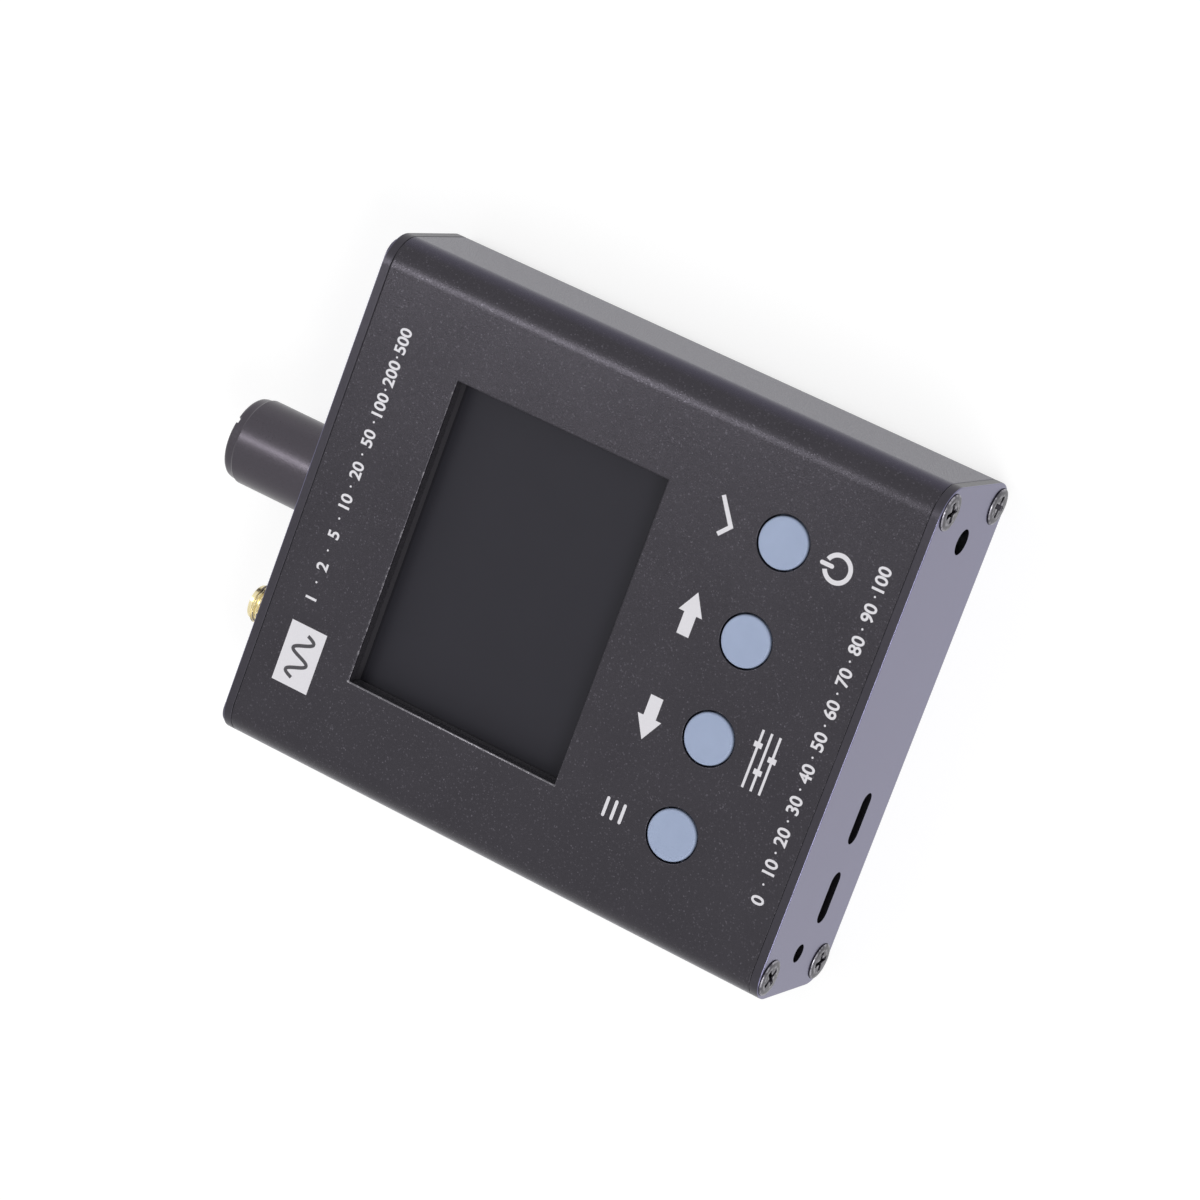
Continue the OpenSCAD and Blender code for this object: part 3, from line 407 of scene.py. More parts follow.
# %% [markdown]
# ## The sleeve
#
# The real sleeve is pressed through a die, so one outline runs along its whole length: a wall,
# four screw channels in the corners and two pairs of rails for the board. The window and the key
# holes are milled afterwards. It is made here in the same order: a bar with round long edges loses
# its ends and gets a wall with Solidify, channels and rails are joined, and the holes are cut with
# tools whose mouths curve outwards, which leaves the small round edge that blasting leaves.

# %% Press the tube
def runs_along(edge):
    """Tells whether an edge runs along the case."""
    return abs(ends(edge, 1)[0] - ends(edge, 1)[1]) > 1


def round_edges(radius, steps):
    """Bevels the picked edges, with the radius in millimetres."""
    bpy.ops.mesh.bevel(offset=radius * MM, segments=steps, affect="EDGES")


sleeve = block("sleeve", case_low, case_high)
pick(sleeve, "EDGE", runs_along)
round_edges(edge_r, 16)
pick(sleeve, "EDGE", lambda e: (abs(ends(e, 1)[0]) > case_high.y - 0.01
                                and ends(e, 1)[0] == ends(e, 1)[1]))
round_edges(0.2, 2)
pick(sleeve, "FACE", lambda f: abs(f.normal.y) > 0.99)
bpy.ops.mesh.delete(type="FACE")
bpy.ops.object.mode_set(mode="OBJECT")
skin = sleeve.modifiers.new("wall", "SOLIDIFY")
skin.thickness, skin.offset, skin.use_even_offset = wall * MM, -1, True
choose(sleeve)
bpy.ops.object.modifier_apply(modifier="wall")
close_up(sleeve)
print("tube with", len(sleeve.data.polygons), "faces")

# %% Join the channels and the rails, and trim the ends
screw_x, screw_z = 37.2, (3.35, case_t - 3.35)
channel_r, channel_bore_r = 2.9, 1.5
rail_x, rail_t = (37.2, 40), 1.2
over = case_high.y + 2


def rod(name, x, z, y0, y1, radius, sides=48):
    """A rod along Y between two places, in millimetres."""
    return put(turned(name, [(radius, 0), (radius, y1 - y0)], sides), (x, y0, z), (-90, 0, 0))


board_low, board_high = span("main_board")
inner = [rod("channel", sx * screw_x, z, -over, over, channel_r) for sx in (-1, 1) for z in screw_z]
for low_z in (board_low.z - 1.25, board_high.z + 0.05):
    inner.append(block("rail", (-rail_x[1], -over, low_z), (-rail_x[0], over, low_z + rail_t)))
    inner.append(block("rail", (rail_x[0], -over, low_z), (rail_x[1], over, low_z + rail_t)))
carve(sleeve, join(inner, "inner"), "UNION")
trim = case_high.y - 0.01       # a hair short, so that no face lies in a plate's face
carve(sleeve, block("ends", (-60, -trim, -20), (60, trim, 50)), "INTERSECT")
bores = [rod("bore", sx * screw_x, z, -over, over, channel_bore_r, 32)
         for sx in (-1, 1) for z in screw_z]
carve(sleeve, join(bores, "bores"))
print("sleeve with", len(sleeve.data.polygons), "faces")

# %% Mill the window and the key holes
bezel_low, bezel_high = span("display_bezel")
key_low, key_high = span("power_key_cap")
window_y = (bezel_low.y + bezel_high.y) / 2
window, window_edge = (24.6, 18.65), 0.3        # half of each side, and the edge's radius
hole_r, hole_edge = 4.2, 0.15
cut_from = 20                                   # where the cutters start, inside the case
key_y = (key_low.y + key_high.y) / 2
key_x = [(span(n + "_key_cap")[0].x + span(n + "_key_cap")[1].x) / 2
         for n in ("power", "right", "left", "menu")]


def flared(name, rings, centre):
    """A rectangular cutter: a block, extruded and scaled, given as (half width, half height, z)."""
    (w, h, z0), *rest = rings
    piece = block(name, (-w, -h, z0 - 0.001), (w, h, z0))
    pick(piece, "FACE", lambda f: f.normal.z > 0.9)
    for w1, h1, z1 in rest:
        bpy.ops.mesh.extrude_region_move(TRANSFORM_OT_translate={"value": (0, 0, (z1 - z0) * MM)})
        bpy.ops.transform.resize(value=(w1 / w, h1 / h, 1), center_override=(0, 0, z1 * MM))
        w, h, z0 = w1, h1, z1
    return put(close_up(piece), (*centre, 0))


def mouth(radius):
    """How far a cutter widens, and at what height, to leave an edge of the given radius."""
    turns = [math.radians(a) for a in (0, 30, 60, 90)]
    curve = [(radius * (1 - math.cos(t)), case_t - radius * (1 - math.sin(t))) for t in turns]
    return curve + [(radius, case_t + 0.1)]


opening = [(window[0] + out, window[1] + out, z) for out, z in mouth(window_edge)]
carve(sleeve, flared("window", [(*window, cut_from), *opening], (0, window_y)))
for x in key_x:
    opening = [(hole_r + out, z) for out, z in mouth(hole_edge)]
    carve(sleeve, put(turned("hole", [(hole_r, cut_from), *opening], 72), (x, key_y, 0)))
close_up(sleeve, 32)
finish_piece(sleeve, case_paint, "case", "case_sleeve")

# %% [markdown]
# ## Painted highlight and wear on the window's edge
#
# The round edge of the window is where fingers and cloths rub, so the dark skin is thin there. The
# edge is painted lighter: evenly along one side, which is a painted highlight line as well as wear,
# and only in spots along the end next to the knob, which are painted glints as well as wear. Such
# marks could be painted by hand. Here they follow from the place: how far a point lies outside the
# window tells whether it is on the edge. The same measure finds the milled wall of the window,
# whose rough dye scatters light instead of mirroring the dark recess, and the flat flanks of the
# case, which are painted a little bluer, a painted reflection of the light they mirror at a low
# angle.

# %% Paint highlight and wear on the window's edge
at_x, at_y, at_z = (case_paint.axis(name) for name in "XYZ")
across = abs(at_x) - window[0] * MM
along = at_y - (window_y + window[1]) * MM
below = (window_y - window[1]) * MM - at_y
gap = case_paint.most(case_paint.most(across, along), below)
edge = (gap > -0.01 * MM) - (gap > window_edge * MM)
edge = edge * (at_z > (case_t - window_edge) * MM)
# spots: painted glints along the end next to the knob, partly rubbed dye
glint_and_wear_spots = case_paint.level(case_paint.noise(0.6, 3.0), (0.0, 0.0), (0.5, 0.0), (0.7, 1.0))
left_side = 0.0 - at_x > window[0] * MM
# painted highlight line evenly along the left side and painted glints in spots, both partly wear
edge_highlight_and_wear = left_side * (0.35 + glint_and_wear_spots * 0.3) + (along > 0.0) * glint_and_wear_spots * 0.45
flank_w = 1.5       # the painted bluer reflection tint fades in over this width
# painted reflection: the flat flanks get a bluer colour for the light they mirror at a low angle
flank_reflection_tint = (across - (case_high.x - flank_w - window[0]) * MM) * (1 / (flank_w * MM))
# skin: the sleeve's tone with the flanks' painted reflection tint
skin = case_paint.mix(flank_reflection_tint, case_paint.tone, colour("43404f"))
# the lighter colour on the edge is painted highlight and glints, partly bare metal
case_paint.set(Base_Color=case_paint.mix(edge * edge_highlight_and_wear, skin, colour("8f8d92")))
cut_wall = (gap > -0.01 * MM) - (gap > 0.005 * MM)
case_paint.set(Metallic=1.0 - cut_wall * 0.7)
print("edge rubbed over", window_edge, "mm round a window of", [2 * w for w in window], "mm")

# %% [markdown]
# ## The end plates
#
# Each plate is a flat blank with the sleeve's outline. Its edges stay sharp, with only a hair of a
# bevel, which is what draws the thin bright line round it. The screws are countersunk, so each hole
# opens as a cone. The lower plate also has two slots for plugs and two round holes.

# %% Cut the plates
def plate(name, side):
    y0, y1 = sorted((side * plate_low.y, side * plate_high.y))
    piece = block(name, (case_low.x, y0, 0), (case_high.x, y1, case_t))
    pick(piece, "EDGE", runs_along)
    round_edges(edge_r, 16)
    pick(piece, "EDGE", lambda e: ends(e, 1)[0] == ends(e, 1)[1])
    round_edges(plate_edge, 2)
    bpy.ops.object.mode_set(mode="OBJECT")
    return piece


sink_r = 2.93       # radius of the countersinks at the plates' faces


def countersinks(side):
    """The four cutters of one plate."""
    tools = []
    for x in (-screw_x, screw_x):
        for z in screw_z:
            tool = turned("sink", [(1.55, -4), (1.55, -1.4), (sink_r, 0), (sink_r, 1)], 48)
            tools.append(put(tool, (x, side * plate_high.y, z), (-90 * side, 0, 0)))
    return tools


def through(name, x, z, radius, side):
    y0, y1 = sorted((side * (plate_low.y - 1), side * (plate_high.y + 1)))
    return rod(name, x, z, y0, y1, radius, 48)


knob_low, knob_high = span("knob_shell")
knob_z = (knob_low.z + knob_high.z) / 2
jack_low, jack_high = span("jack_nut")
jack_x, jack_z = (jack_low.x + jack_high.x) / 2, (jack_low.z + jack_high.z) / 2
bushing_hole_r, jack_hole_r = 3.55, 3.225
top_plate = plate("upper_plate", 1)
tools = countersinks(1)
tools.append(through("bushing_hole", 0, knob_z, bushing_hole_r, 1))
tools.append(through("jack_hole", jack_x, jack_z, jack_hole_r, 1))
carve(top_plate, join(tools, "tools"))
finish_piece(close_up(top_plate, 20), plate_paint, "case", "top_end_plate")

# %% Cut the lower plate
port_x, port_z = (-12.8, -25.8), board_low.z - 1.425
half_w, half_h = 4.2, 1.6                       # half of a slot's width and of its height
sound_hole = (32, board_high.z - 0.3, 2.05)     # place along X and Z, and radius
lamp_hole = (-34.5, board_high.z + 0.7, 1.5)
bottom_plate = plate("lower_plate", -1)
tools = countersinks(-1) + [through("sound", *sound_hole, -1), through("lamp", *lamp_hole, -1)]
for x in port_x:
    slot = block("slot", (x - half_w, -plate_high.y - 1, port_z - half_h),
                 (x + half_w, 1 - plate_low.y, port_z + half_h))
    pick(slot, "EDGE", runs_along)
    round_edges(half_h - 0.001, 10)
    bpy.ops.object.mode_set(mode="OBJECT")
    tools.append(slot)
carve(bottom_plate, join(tools, "tools"))
finish_piece(close_up(bottom_plate, 20), plate_paint, "case", "bottom_end_plate")

# %% [markdown]
# ## The countersunk screws
#
# A raised countersunk head is a cone below the plate and a low dome with a rim above it, and a
# cross is punched into the dome. The punch is pointed, so the cross narrows towards the bottom. One
# screw is turned and punched, and all eight are copies of it. They are blackened steel.

# %% Turn and punch the screws
screw_paint = anodised("screw_black_zinc", colour("3c3a40"), 0.3, 0.1, 0.3)
rise = span("end_plate_screws")[1].y - plate_high.y
head_r = 2.87
screw = turned("screw", [
    (1.2, -8), (1.45, -7.7), (1.45, -1.5), (head_r - 0.01, -0.12), (head_r, 0),
    (head_r, rise - 0.2), (2.82, rise - 0.12), (2.68, rise - 0.06), (2.2, rise - 0.02),
    (1.2, rise), (0.2, rise + 0.001)], 64)
arm_long, arm_wide, arm_deep = 1.7, 0.4, 1.2
floor_z = rise - 0.1 - arm_deep
punch = []
for turn in (0, 90):
    arm = block("arm", (-arm_long, -arm_wide, rise - 0.1), (arm_long, arm_wide, rise + 0.5))
    pick(arm, "FACE", lambda f: f.normal.z < -0.9)
    bpy.ops.mesh.extrude_region_move(TRANSFORM_OT_translate={"value": (0, 0, -arm_deep * MM)})
    bpy.ops.transform.resize(value=(0.35, 0.5, 1), center_override=(0, 0, floor_z * MM))
    punch.append(put(close_up(arm), turn=(0, 0, turn)))
print("heads stand", round(rise, 2), "mm above the plates")
for arm in punch:
    carve(screw, arm)
close_up(screw, 30)
corners = [(x, z) for x in (-screw_x, screw_x) for z in screw_z]
first_turn, next_turn = 17, 31      # no two screws of a plate stop at the same angle
screws = []
for side in (-1, 1):
    for number, (x, z) in enumerate(corners):
        copy = put(twin(screw, "screw"), turn=(0, 0, first_turn + next_turn * number))
        screws.append(put(copy, (x, side * plate_high.y, z), (-90 * side, 0, 0)))
bpy.data.objects.remove(screw)
finish_piece(join(screws, "plate_screws"), screw_paint, "case", "end_plate_screws")

# %% [markdown]
# ## Painted highlights and wear on the screws
#
# A driver rubs the black off a screw: round the cross, and on the rim where the head stands proud.
# The paint measures how far a point lies from the nearest screw's middle and paints uneven light
# rings: painted highlights of the domed head, with a painted glint on the rim, which also stand for
# the rubbed steel. The punched cross stays dark, as it lies lower.

# %% Paint light rings on the screws, as highlights and wear
middle, reach = (screw_z[0] + screw_z[1]) / 2, (screw_z[1] - screw_z[0]) / 2
sideways = abs(screw_paint.axis("X")) - screw_x * MM
upwards = abs(screw_paint.axis("Z") - middle * MM) - reach * MM
from_middle = screw_paint.node("ShaderNodeMath", {0: sideways * sideways + upwards * upwards},
                               operation="SQRT")
rings_out_to = 3.0
# painted highlights: light rings round each screw's middle and on its rim, partly rubbed steel
highlight_and_wear_rings = screw_paint.level(
    from_middle * (1 / (rings_out_to * MM)),
    (0.0, 0.5), (0.3, 0.9), (0.5, 0.15), (0.62, 0.7), (0.72, 0.1), (0.82, 0.1), (0.94, 1.0))
highlight_and_wear_rings = highlight_and_wear_rings * (abs(screw_paint.axis("Y")) > (plate_high.y + rise - 0.22) * MM)
patches = screw_paint.level(screw_paint.noise(0.7, 2.0), (0.0, 0.1), (0.42, 0.2), (0.58, 1.0))
# the light steel colour is painted highlight and wear
screw_paint.set(Base_Color=screw_paint.mix(highlight_and_wear_rings * patches, screw_paint.tone, colour("a3a1a8")))
print("steel shows on", len(screws), "screws, out to", rings_out_to, "mm from their middles")

# %% [markdown]
# ## The keys
#
# Each key is a moulded pale blue cap, nearly level with the case. Behind the wall it spreads into a
# flange, so that it can't fall out. Its rim is rounded, and that round catches more light than the
# flat top. A fine spark-eroded texture from the mould keeps the top from shining.

# %% Turn the key caps
key_paint = Paint("key_plastic", Metallic=0.0)
grain = key_paint.noise(0.12, 2.0)
tone = key_paint.mix(key_paint.noise(3.0), colour("9fadca"), colour("a9b7d4"))
key_paint.set(Base_Color=tone, Roughness=0.5 + (grain - 0.5) * 0.15).relief(grain, 0.01, 0.4)
cap_z0, cap_top = key_low.z, key_high.z
cap_r, cap_round, flange_r = 3.95, 0.35, 4.8
rounding = [(cap_r - cap_round * (1 - math.cos(a)), cap_top - cap_round + cap_round * math.sin(a))
            for a in (i * math.pi / 12 for i in range(7))]
cap = turned("cap", [
    (1.75, cap_z0 + 1.45), (1.75, cap_z0), (4.7, cap_z0), (flange_r, cap_z0 + 0.1),
    (flange_r, cap_z0 + 0.7),
    (4.7, cap_z0 + 0.8), (4.05, cap_z0 + 0.82), (3.98, cap_z0 + 1.1), *rounding,
    (3.2, cap_top - 0.015), (2.2, cap_top - 0.03), (0.6, cap_top - 0.035)], 72)
for name, x in zip(("power", "right", "left", "menu"), key_x):
    copy = put(twin(cap, name + "_cap"), (x, key_y, 0))
    finish_piece(copy, key_paint, name + "_key", name + "_key_cap")
bpy.data.objects.remove(cap)

# %% [markdown]
# ## The knob
#
# The knob is turned from aluminium and anodised satin black. Its side is plain, and near the tip a
# fine shoulder leads to a narrower, slightly tapered band, which shows in the photograph as a light
# ring. A groove in the rim points to the knob's setting. Turning leaves very fine rings round the
# axis, so the relief follows the distance along it.

# %% Turn the knob
knob_paint = Paint("knob_satin_black", Metallic=1.0)
rings = knob_paint.noise(0.05, 1.0, knob_paint.node(
    "ShaderNodeVectorMath", {0: knob_paint.place, 1: (0.02, 1.0, 0.02)}, operation="MULTIPLY"))
dust = knob_paint.noise(0.3, 3.0)
knob_paint.set(Base_Color=knob_paint.mix(dust, colour("4a474c"), colour("524e55")))
knob_paint.set(Roughness=0.31 + (rings - 0.5) * 0.12 + (dust - 0.5) * 0.1).relief(rings, 0.006, 0.5)
knob_len = knob_high.y - knob_low.y
core_r, knob_r = 5.05, 7.0
bore = [(core_r, 13.35), (core_r, 2.6), (6.2, 2.6), (6.2, 0.12), (6.32, 0)]
skirt = [(6.82, 0), (6.97, 0.15), (knob_r, 0.35), (knob_r, knob_len - 1.95)]
shoulder = [(6.97, 1.88), (6.76, 1.62), (6.74, 1.55), (6.68, 0.7), (6.56, 0.3), (6.36, 0.08)]
end_face = [(6.1, 0), (5.7, 0), (5.5, 0.12), (3.0, 0.16), (0.3, 0.17)]
knob = turned("knob", [
    *bore, *skirt, *[(r, knob_len - drop) for r, drop in shoulder + end_face]], 96)
groove_half, groove_deep, groove_turn = 0.5, 0.55, -60
groove = block("groove", (4.2, -groove_half, knob_len - groove_deep),
               (9, groove_half, knob_len + 1))
carve(knob, put(groove, turn=(0, 0, groove_turn)))
put(knob, (0, knob_low.y, knob_z), (-90, 0, 0))
finish_piece(close_up(knob, 30), knob_paint, "knob", "knob_shell")

# %% [markdown]
# ## The jack
#
# The jack's barrel carries a fine thread, 36 turns to the inch, and ends in a short smooth lead.
# The thread is modelled, not painted: a turned barrel with many rings has each ring's points moved
# in or out, by how far round and how far along they are, which winds one groove round it. The
# thread fades out before the lead, as a die leaves it.

# %% Cut the thread
gold = Paint("gold_plate", Metallic=1.0)
wear = gold.noise(0.6, 3.0)
gold.set(Base_Color=gold.mix(wear, colour("decfa2"), colour("ebe1bc")))
gold.set(Roughness=0.26 + (wear - 0.5) * 0.12).relief(gold.noise(0.08), 0.004, 0.4)
plate_back = plate_low.y
tip = span("jack_body")[1].y - plate_back
crest, root, pitch = 3.175, 2.82, 25.4 / 36
lead, lead_r, mouth_r, bore_r = 0.8, 2.75, 2.3, 2.05
flange_t, mouth_deep = 1.6, 1.9
steps = 10                              # rings in each turn of the thread
rounds = [(crest, i * pitch / steps) for i in range(int((tip - lead) / pitch * steps) + 1)]
nose = [(2.72, 0.62), (lead_r, 0.5), (lead_r, 0.08), (2.68, 0), (2.38, 0), (mouth_r, 0.08),
        (mouth_r, mouth_deep), (bore_r, mouth_deep)]
barrel = turned("barrel", [
    *rounds, *[(r, tip - back) for r, back in nose], (bore_r, -flange_t)], 72)
first, last = 1.9, rounds[-1][1]        # where the thread starts and ends along the barrel
for vert in barrel.data.vertices:
    x, y, z = vert.co / MM
    radius = math.hypot(x, y)
    if radius < 3 or not first < z <= last:
        continue
    phase = (z / pitch + math.atan2(y, x) / math.tau) % 1.0
    deep = min(1.0, max(0.0, (abs(2 * phase - 1) - 0.15) / 0.6))
    fade = min(1.0, (z - first) / pitch, (last - z) / pitch + 0.35)
    factor = (crest - (crest - root) * deep * fade) / radius
    vert.co.x, vert.co.y = x * factor * MM, y * factor * MM
print("thread of", round((last - first) / pitch, 1), "turns")

# %% Add the flange and the legs
put(barrel, (jack_x, plate_back, jack_z), (-90, 0, 0))
half = 3.175
flange = block("flange", (jack_x - half, plate_back - flange_t, jack_z - half),
               (jack_x + half, plate_back - 0.001, jack_z + half))
pick(flange, "EDGE", lambda e: True)
round_edges(0.15, 2)
bpy.ops.object.mode_set(mode="OBJECT")
carve(flange, rod("bore", jack_x, jack_z, plate_back - 3, plate_back + 1, bore_r))
leg_w, leg_end = 1, plate_back - 5.2
legs = []
for sx in (-1, 1):
    for z0 in (board_high.z + 0.05, board_low.z - 1.05):
        x0 = jack_x + sx * (half - leg_w / 2) - leg_w / 2
        legs.append(block("leg", (x0, leg_end, z0),
                          (x0 + leg_w, plate_back - flange_t + 0.05, z0 + leg_w)))
jack = join([barrel, flange, *legs], "antenna_jack")
finish_piece(close_up(jack, 32), gold, "case", "jack_body")

# %% [markdown]
# ## The nuts
#
# A nut is a hexagonal prism whose corners are turned down at both faces. It is the common part of a
# prism and a turned blank with chamfered rims, and a Boolean intersection makes just that.

# %% Shape the nuts
steel = Paint("plated_steel", Metallic=1.0)
haze = steel.noise(0.5, 3.0)
steel.set(Base_Color=steel.mix(haze, colour("a9a9ad"), colour("bdbdc1")))
steel.set(Roughness=0.28 + (haze - 0.5) * 0.2).relief(steel.noise(0.1), 0.004, 0.4)


def nut(name, node, x, z, bore, paint):
    low, high = span(node)
    corner = (high.x - low.x) / 2
    height = high.y - low.y
    flat_r = corner * math.sqrt(3) / 2
    blank = turned(name, [(flat_r - 0.1, 0), (corner + 0.1, 0.42), (corner + 0.1, height - 0.42),
                          (flat_r - 0.1, height)], 72)
    carve(blank, turned("prism", [(corner, -1), (corner, height + 1)], 6), "INTERSECT")
    carve(blank, turned("bore", [
        (bore + 0.3, -0.3), (bore + 0.3, 0), (bore, 0.3), (bore, height - 0.3),
        (bore + 0.3, height), (bore + 0.3, height + 0.3)], 48))
    put(blank, (x, low.y, z), (-90, 0, 0))
    return finish_piece(close_up(blank, 20), paint, "case", node)


nut("jack_hex_nut", "jack_nut", jack_x, jack_z, 3.2, gold)
nut("encoder_hex_nut", "encoder_nut", 0, knob_z, 3.53, steel)

# %% [markdown]
# ## The printed signs
#
# The signs are screen printed in white, so each is a flat film of ink that stands a hair above
# the metal. An outline is drawn as a flat curve, filled, given a little thickness and made a mesh.
# The signs next to the keys are common ones: a tick for accept, the standby sign, two arrows, three
# bars for a menu and three sliders for settings.

# %% Draw flat outlines
ink = Paint("white_ink", Metallic=0.0)
film = ink.noise(0.2, 3.0)
ink.set(Base_Color=ink.mix(film, colour("e6e4ea"), colour("f0eef3")), Roughness=0.55)
ink.relief(film, 0.006, 0.4)
ink_z, ink_t = case_t + 0.002, 0.02
print("ink", ink_t, "mm thick, printed at a height of", ink_z, "mm")


def flat(name, outlines, place=(0, 0), lift=0.0):
    """A printed shape: closed outlines in millimetres, filled and made a thin mesh."""
    curve = bpy.data.curves.new(name, "CURVE")
    curve.dimensions, curve.fill_mode, curve.extrude = "2D", "BOTH", ink_t / 2 * MM
    for outline in outlines:
        spline = curve.splines.new("POLY")
        spline.points.add(len(outline) - 1)
        for point, (x, y) in zip(spline.points, outline):
            point.co = (x * MM, y * MM, 0, 1)
        spline.use_cyclic_u = True
    sign = bpy.data.objects.new(name, curve)
    bpy.context.scene.collection.objects.link(sign)
    choose(sign)
    bpy.ops.object.convert(target="MESH")
    put(bpy.context.object, (*place, ink_z + ink_t / 2 + lift))
    return close_up(bpy.context.object)


def arc(radius, start, end, steps=24):
    """Points on a circle round the origin, from one angle to another."""
    turns = [math.radians(start + (end - start) * i / steps) for i in range(steps + 1)]
    return [(radius * math.cos(t), radius * math.sin(t)) for t in turns]


def bar(x0, x1, y, half):
    """A bar along X with round ends."""
    left = [(x0 + half + p[0], y + p[1]) for p in arc(half, 90, 270, 8)]
    return left + [(x1 - half + p[0], y + p[1]) for p in arc(half, -90, 90, 8)]


def upright(x, y0, y1, half):
    """A bar along Y with round ends."""
    return [(x + b, a) for a, b in bar(y0, y1, 0, half)]


# %% Print the signs by the keys
signs = []
tick = [(-3.1, 0.15), (-2.65, 0.65), (-1.1, -0.75), (2.6, 1.85), (2.98, 1.3), (-1.1, -1.65)]
signs.append(flat("tick", [tick], (23.4, -17.9)))
ring = arc(2.4, 112, 428, 40) + arc(1.68, 428, 112, 40)
signs.append(flat("standby", [ring, upright(0, 0.62, 2.95, 0.33)], (23.42, -36.85)))


def arrow(tip, base, head, tail, half):
    """An arrow along X, from its tip to its tail."""
    return [(tip, 0), (base, head), (base, half), (tail, half), (tail, -half), (base, -half),
            (base, -head)]


signs.append(flat("arrow_right", [arrow(11.39, 7.95, 2.02, 4.53, 1.03)], (0, -18.0)))
signs.append(flat("arrow_left", [arrow(-12.38, -8.87, 2.05, -5.52, 1.07)], (0, -17.78)))
signs.append(flat("menu", [bar(-1.6, 1.6, y, 0.26) for y in (-1.45, 0, 1.45)], (-24.0, -17.7)))
sliders = []
end, thin, tall = 4.6, 0.2, 0.68        # half a track's length and width, half a grip's height
for y, grip in ((1.45, 2.2), (0, -1.6), (-1.45, 0.9)):
    near, far = grip - 0.42, grip + 0.42
    lower = [(-end, -thin), (near, -thin), (near, -tall), (far, -tall), (far, -thin), (end, -thin)]
    sliders.append([(x, y + dy) for x, dy in lower] + [(x, y - dy) for x, dy in lower[::-1]])
signs.append(flat("sliders", sliders, (-7.5, -36.6)))
finish_piece(join(signs, "key_signs"), ink, "case")

# %% [markdown]
# ## The scales
#
# A line of plain numbers with a dot between them runs above the display and another below the
# keys, as on a dial. They are text, made a mesh before it is placed. The label beside the upper
# line is a white field with a wave on it.

# %% Print the scales and the label
digit_share = 0.72      # height of a digit in a typeface of size 1


def number(text, x, y, height):
    """One number of the given height, printed in the middle over a place."""
    data = bpy.data.curves.new("number", "FONT")
    data.body, data.size, data.extrude = text, height / digit_share * MM, ink_t / 2 * MM
    data.align_x, data.offset = "CENTER", 0.06 * MM
    sign = bpy.data.objects.new("number", data)
    bpy.context.scene.collection.objects.link(sign)
    choose(sign)
    bpy.ops.object.convert(target="MESH")
    return put(bpy.context.object, (x, y, ink_z + ink_t / 2))


def scale(name, values, x0, x1, y, height):
    """A row of numbers at equal steps, with a dot between each two."""
    step = (x1 - x0) / (len(values) - 1)
    parts = [number(str(v), x0 + i * step, y, height) for i, v in enumerate(values)]
    dots = [[(x + p[0], p[1] + height / 2) for p in arc(0.17, 0, 345, 23)]
            for x in (x0 + (i + 0.5) * step for i in range(len(values) - 1))]
    parts.append(flat("dots", dots, (0, y)))
    piece = join(parts, name)
    return finish_piece(close_up(piece), ink, "case")


scale("upper_scale", (1, 2, 5, 10, 20, 50, 100, 200, 500), -15.6, 26.6, 39.8, 1.95)
scale("lower_scale", (0, 10, 20, 30, 40, 50, 60, 70, 80, 90, 100), -26.4, 24.6, -44.7, 2.05)
label = flat("label", [[(-29.67, 36.0), (-19.8, 36.0), (-19.8, 42.45), (-29.67, 42.45)]])
finish_piece(label, ink, "case")

# %% Draw the wave
wave_w, wave_h, line_w = 7.2, 1.6, 0.56
wave = [(-wave_w / 2 + wave_w * i / 48, wave_h * math.sin(math.tau * i / 24)) for i in range(49)]
upper, lower = [], []
for (xa, ya), (xb, yb) in zip(wave, wave[1:]):
    length = math.hypot(xb - xa, yb - ya)
    nx, ny = (ya - yb) / length * line_w / 2, (xb - xa) / length * line_w / 2
    upper.append(((xa + xb) / 2 + nx, (ya + yb) / 2 + ny))
    lower.append(((xa + xb) / 2 - nx, (ya + yb) / 2 - ny))
grey_ink = Paint("grey_ink", Roughness=0.55)
grey_ink.set(Base_Color=grey_ink.mix(grey_ink.noise(0.2), colour("3c3a40"), colour("46444a")))
finish_piece(flat("wave", [upper + lower[::-1]], (-24.7, 39.2), 0.015), grey_ink, "case")

# %% [markdown]
# ## The display and what lies inside
#
# The display is off. It is a dark glass with a fine matt coat that scatters reflections, and beyond
# its active area runs a black border. The frame round it is black plastic. The other solids lie
# inside and have the finishes of a real instrument: green boards, black chips, plated sheet, a
# silver battery pouch. They are carried over as they are and only painted.

# %% Paint the display
glass = Paint("display_glass", IOR=1.3)
lit_x, lit_y = 24.48, 18.4              # half of the active area's sides
border = glass.most(abs(glass.axis("X")) > lit_x * MM,
                    abs(glass.axis("Y") - window_y * MM) > lit_y * MM)
frost = glass.noise(0.09, 2.0)
film_tone = glass.mix(glass.noise(9.0), colour("29282f"), colour("2c2b32"))
glass.set(Base_Color=glass.mix(border, film_tone, colour("232228")))
glass.set(Roughness=0.55 + (frost - 0.5) * 0.1).relief(frost, 0.003, 0.2)


def paint_node(paint, *nodes):
    for name in nodes:
        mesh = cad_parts[name].data
        mesh.materials.clear()
        mesh.materials.append(paint.material)


paint_node(glass, "display_glass")
print("active area", 2 * lit_x, "x", 2 * lit_y, "mm")

# %% Paint the plastics, boards and sheet
def moulded(name, code, roughness=0.55, grit=0.15, depth=0.01):
    paint = Paint(name, Metallic=0.0)
    grain = paint.noise(grit, 2.0)
    paint.set(Base_Color=paint.mix(paint.noise(2.0), *around(colour(code), 0.12)))
    return paint.set(Roughness=roughness + (grain - 0.5) * 0.2).relief(grain, depth, 0.4)


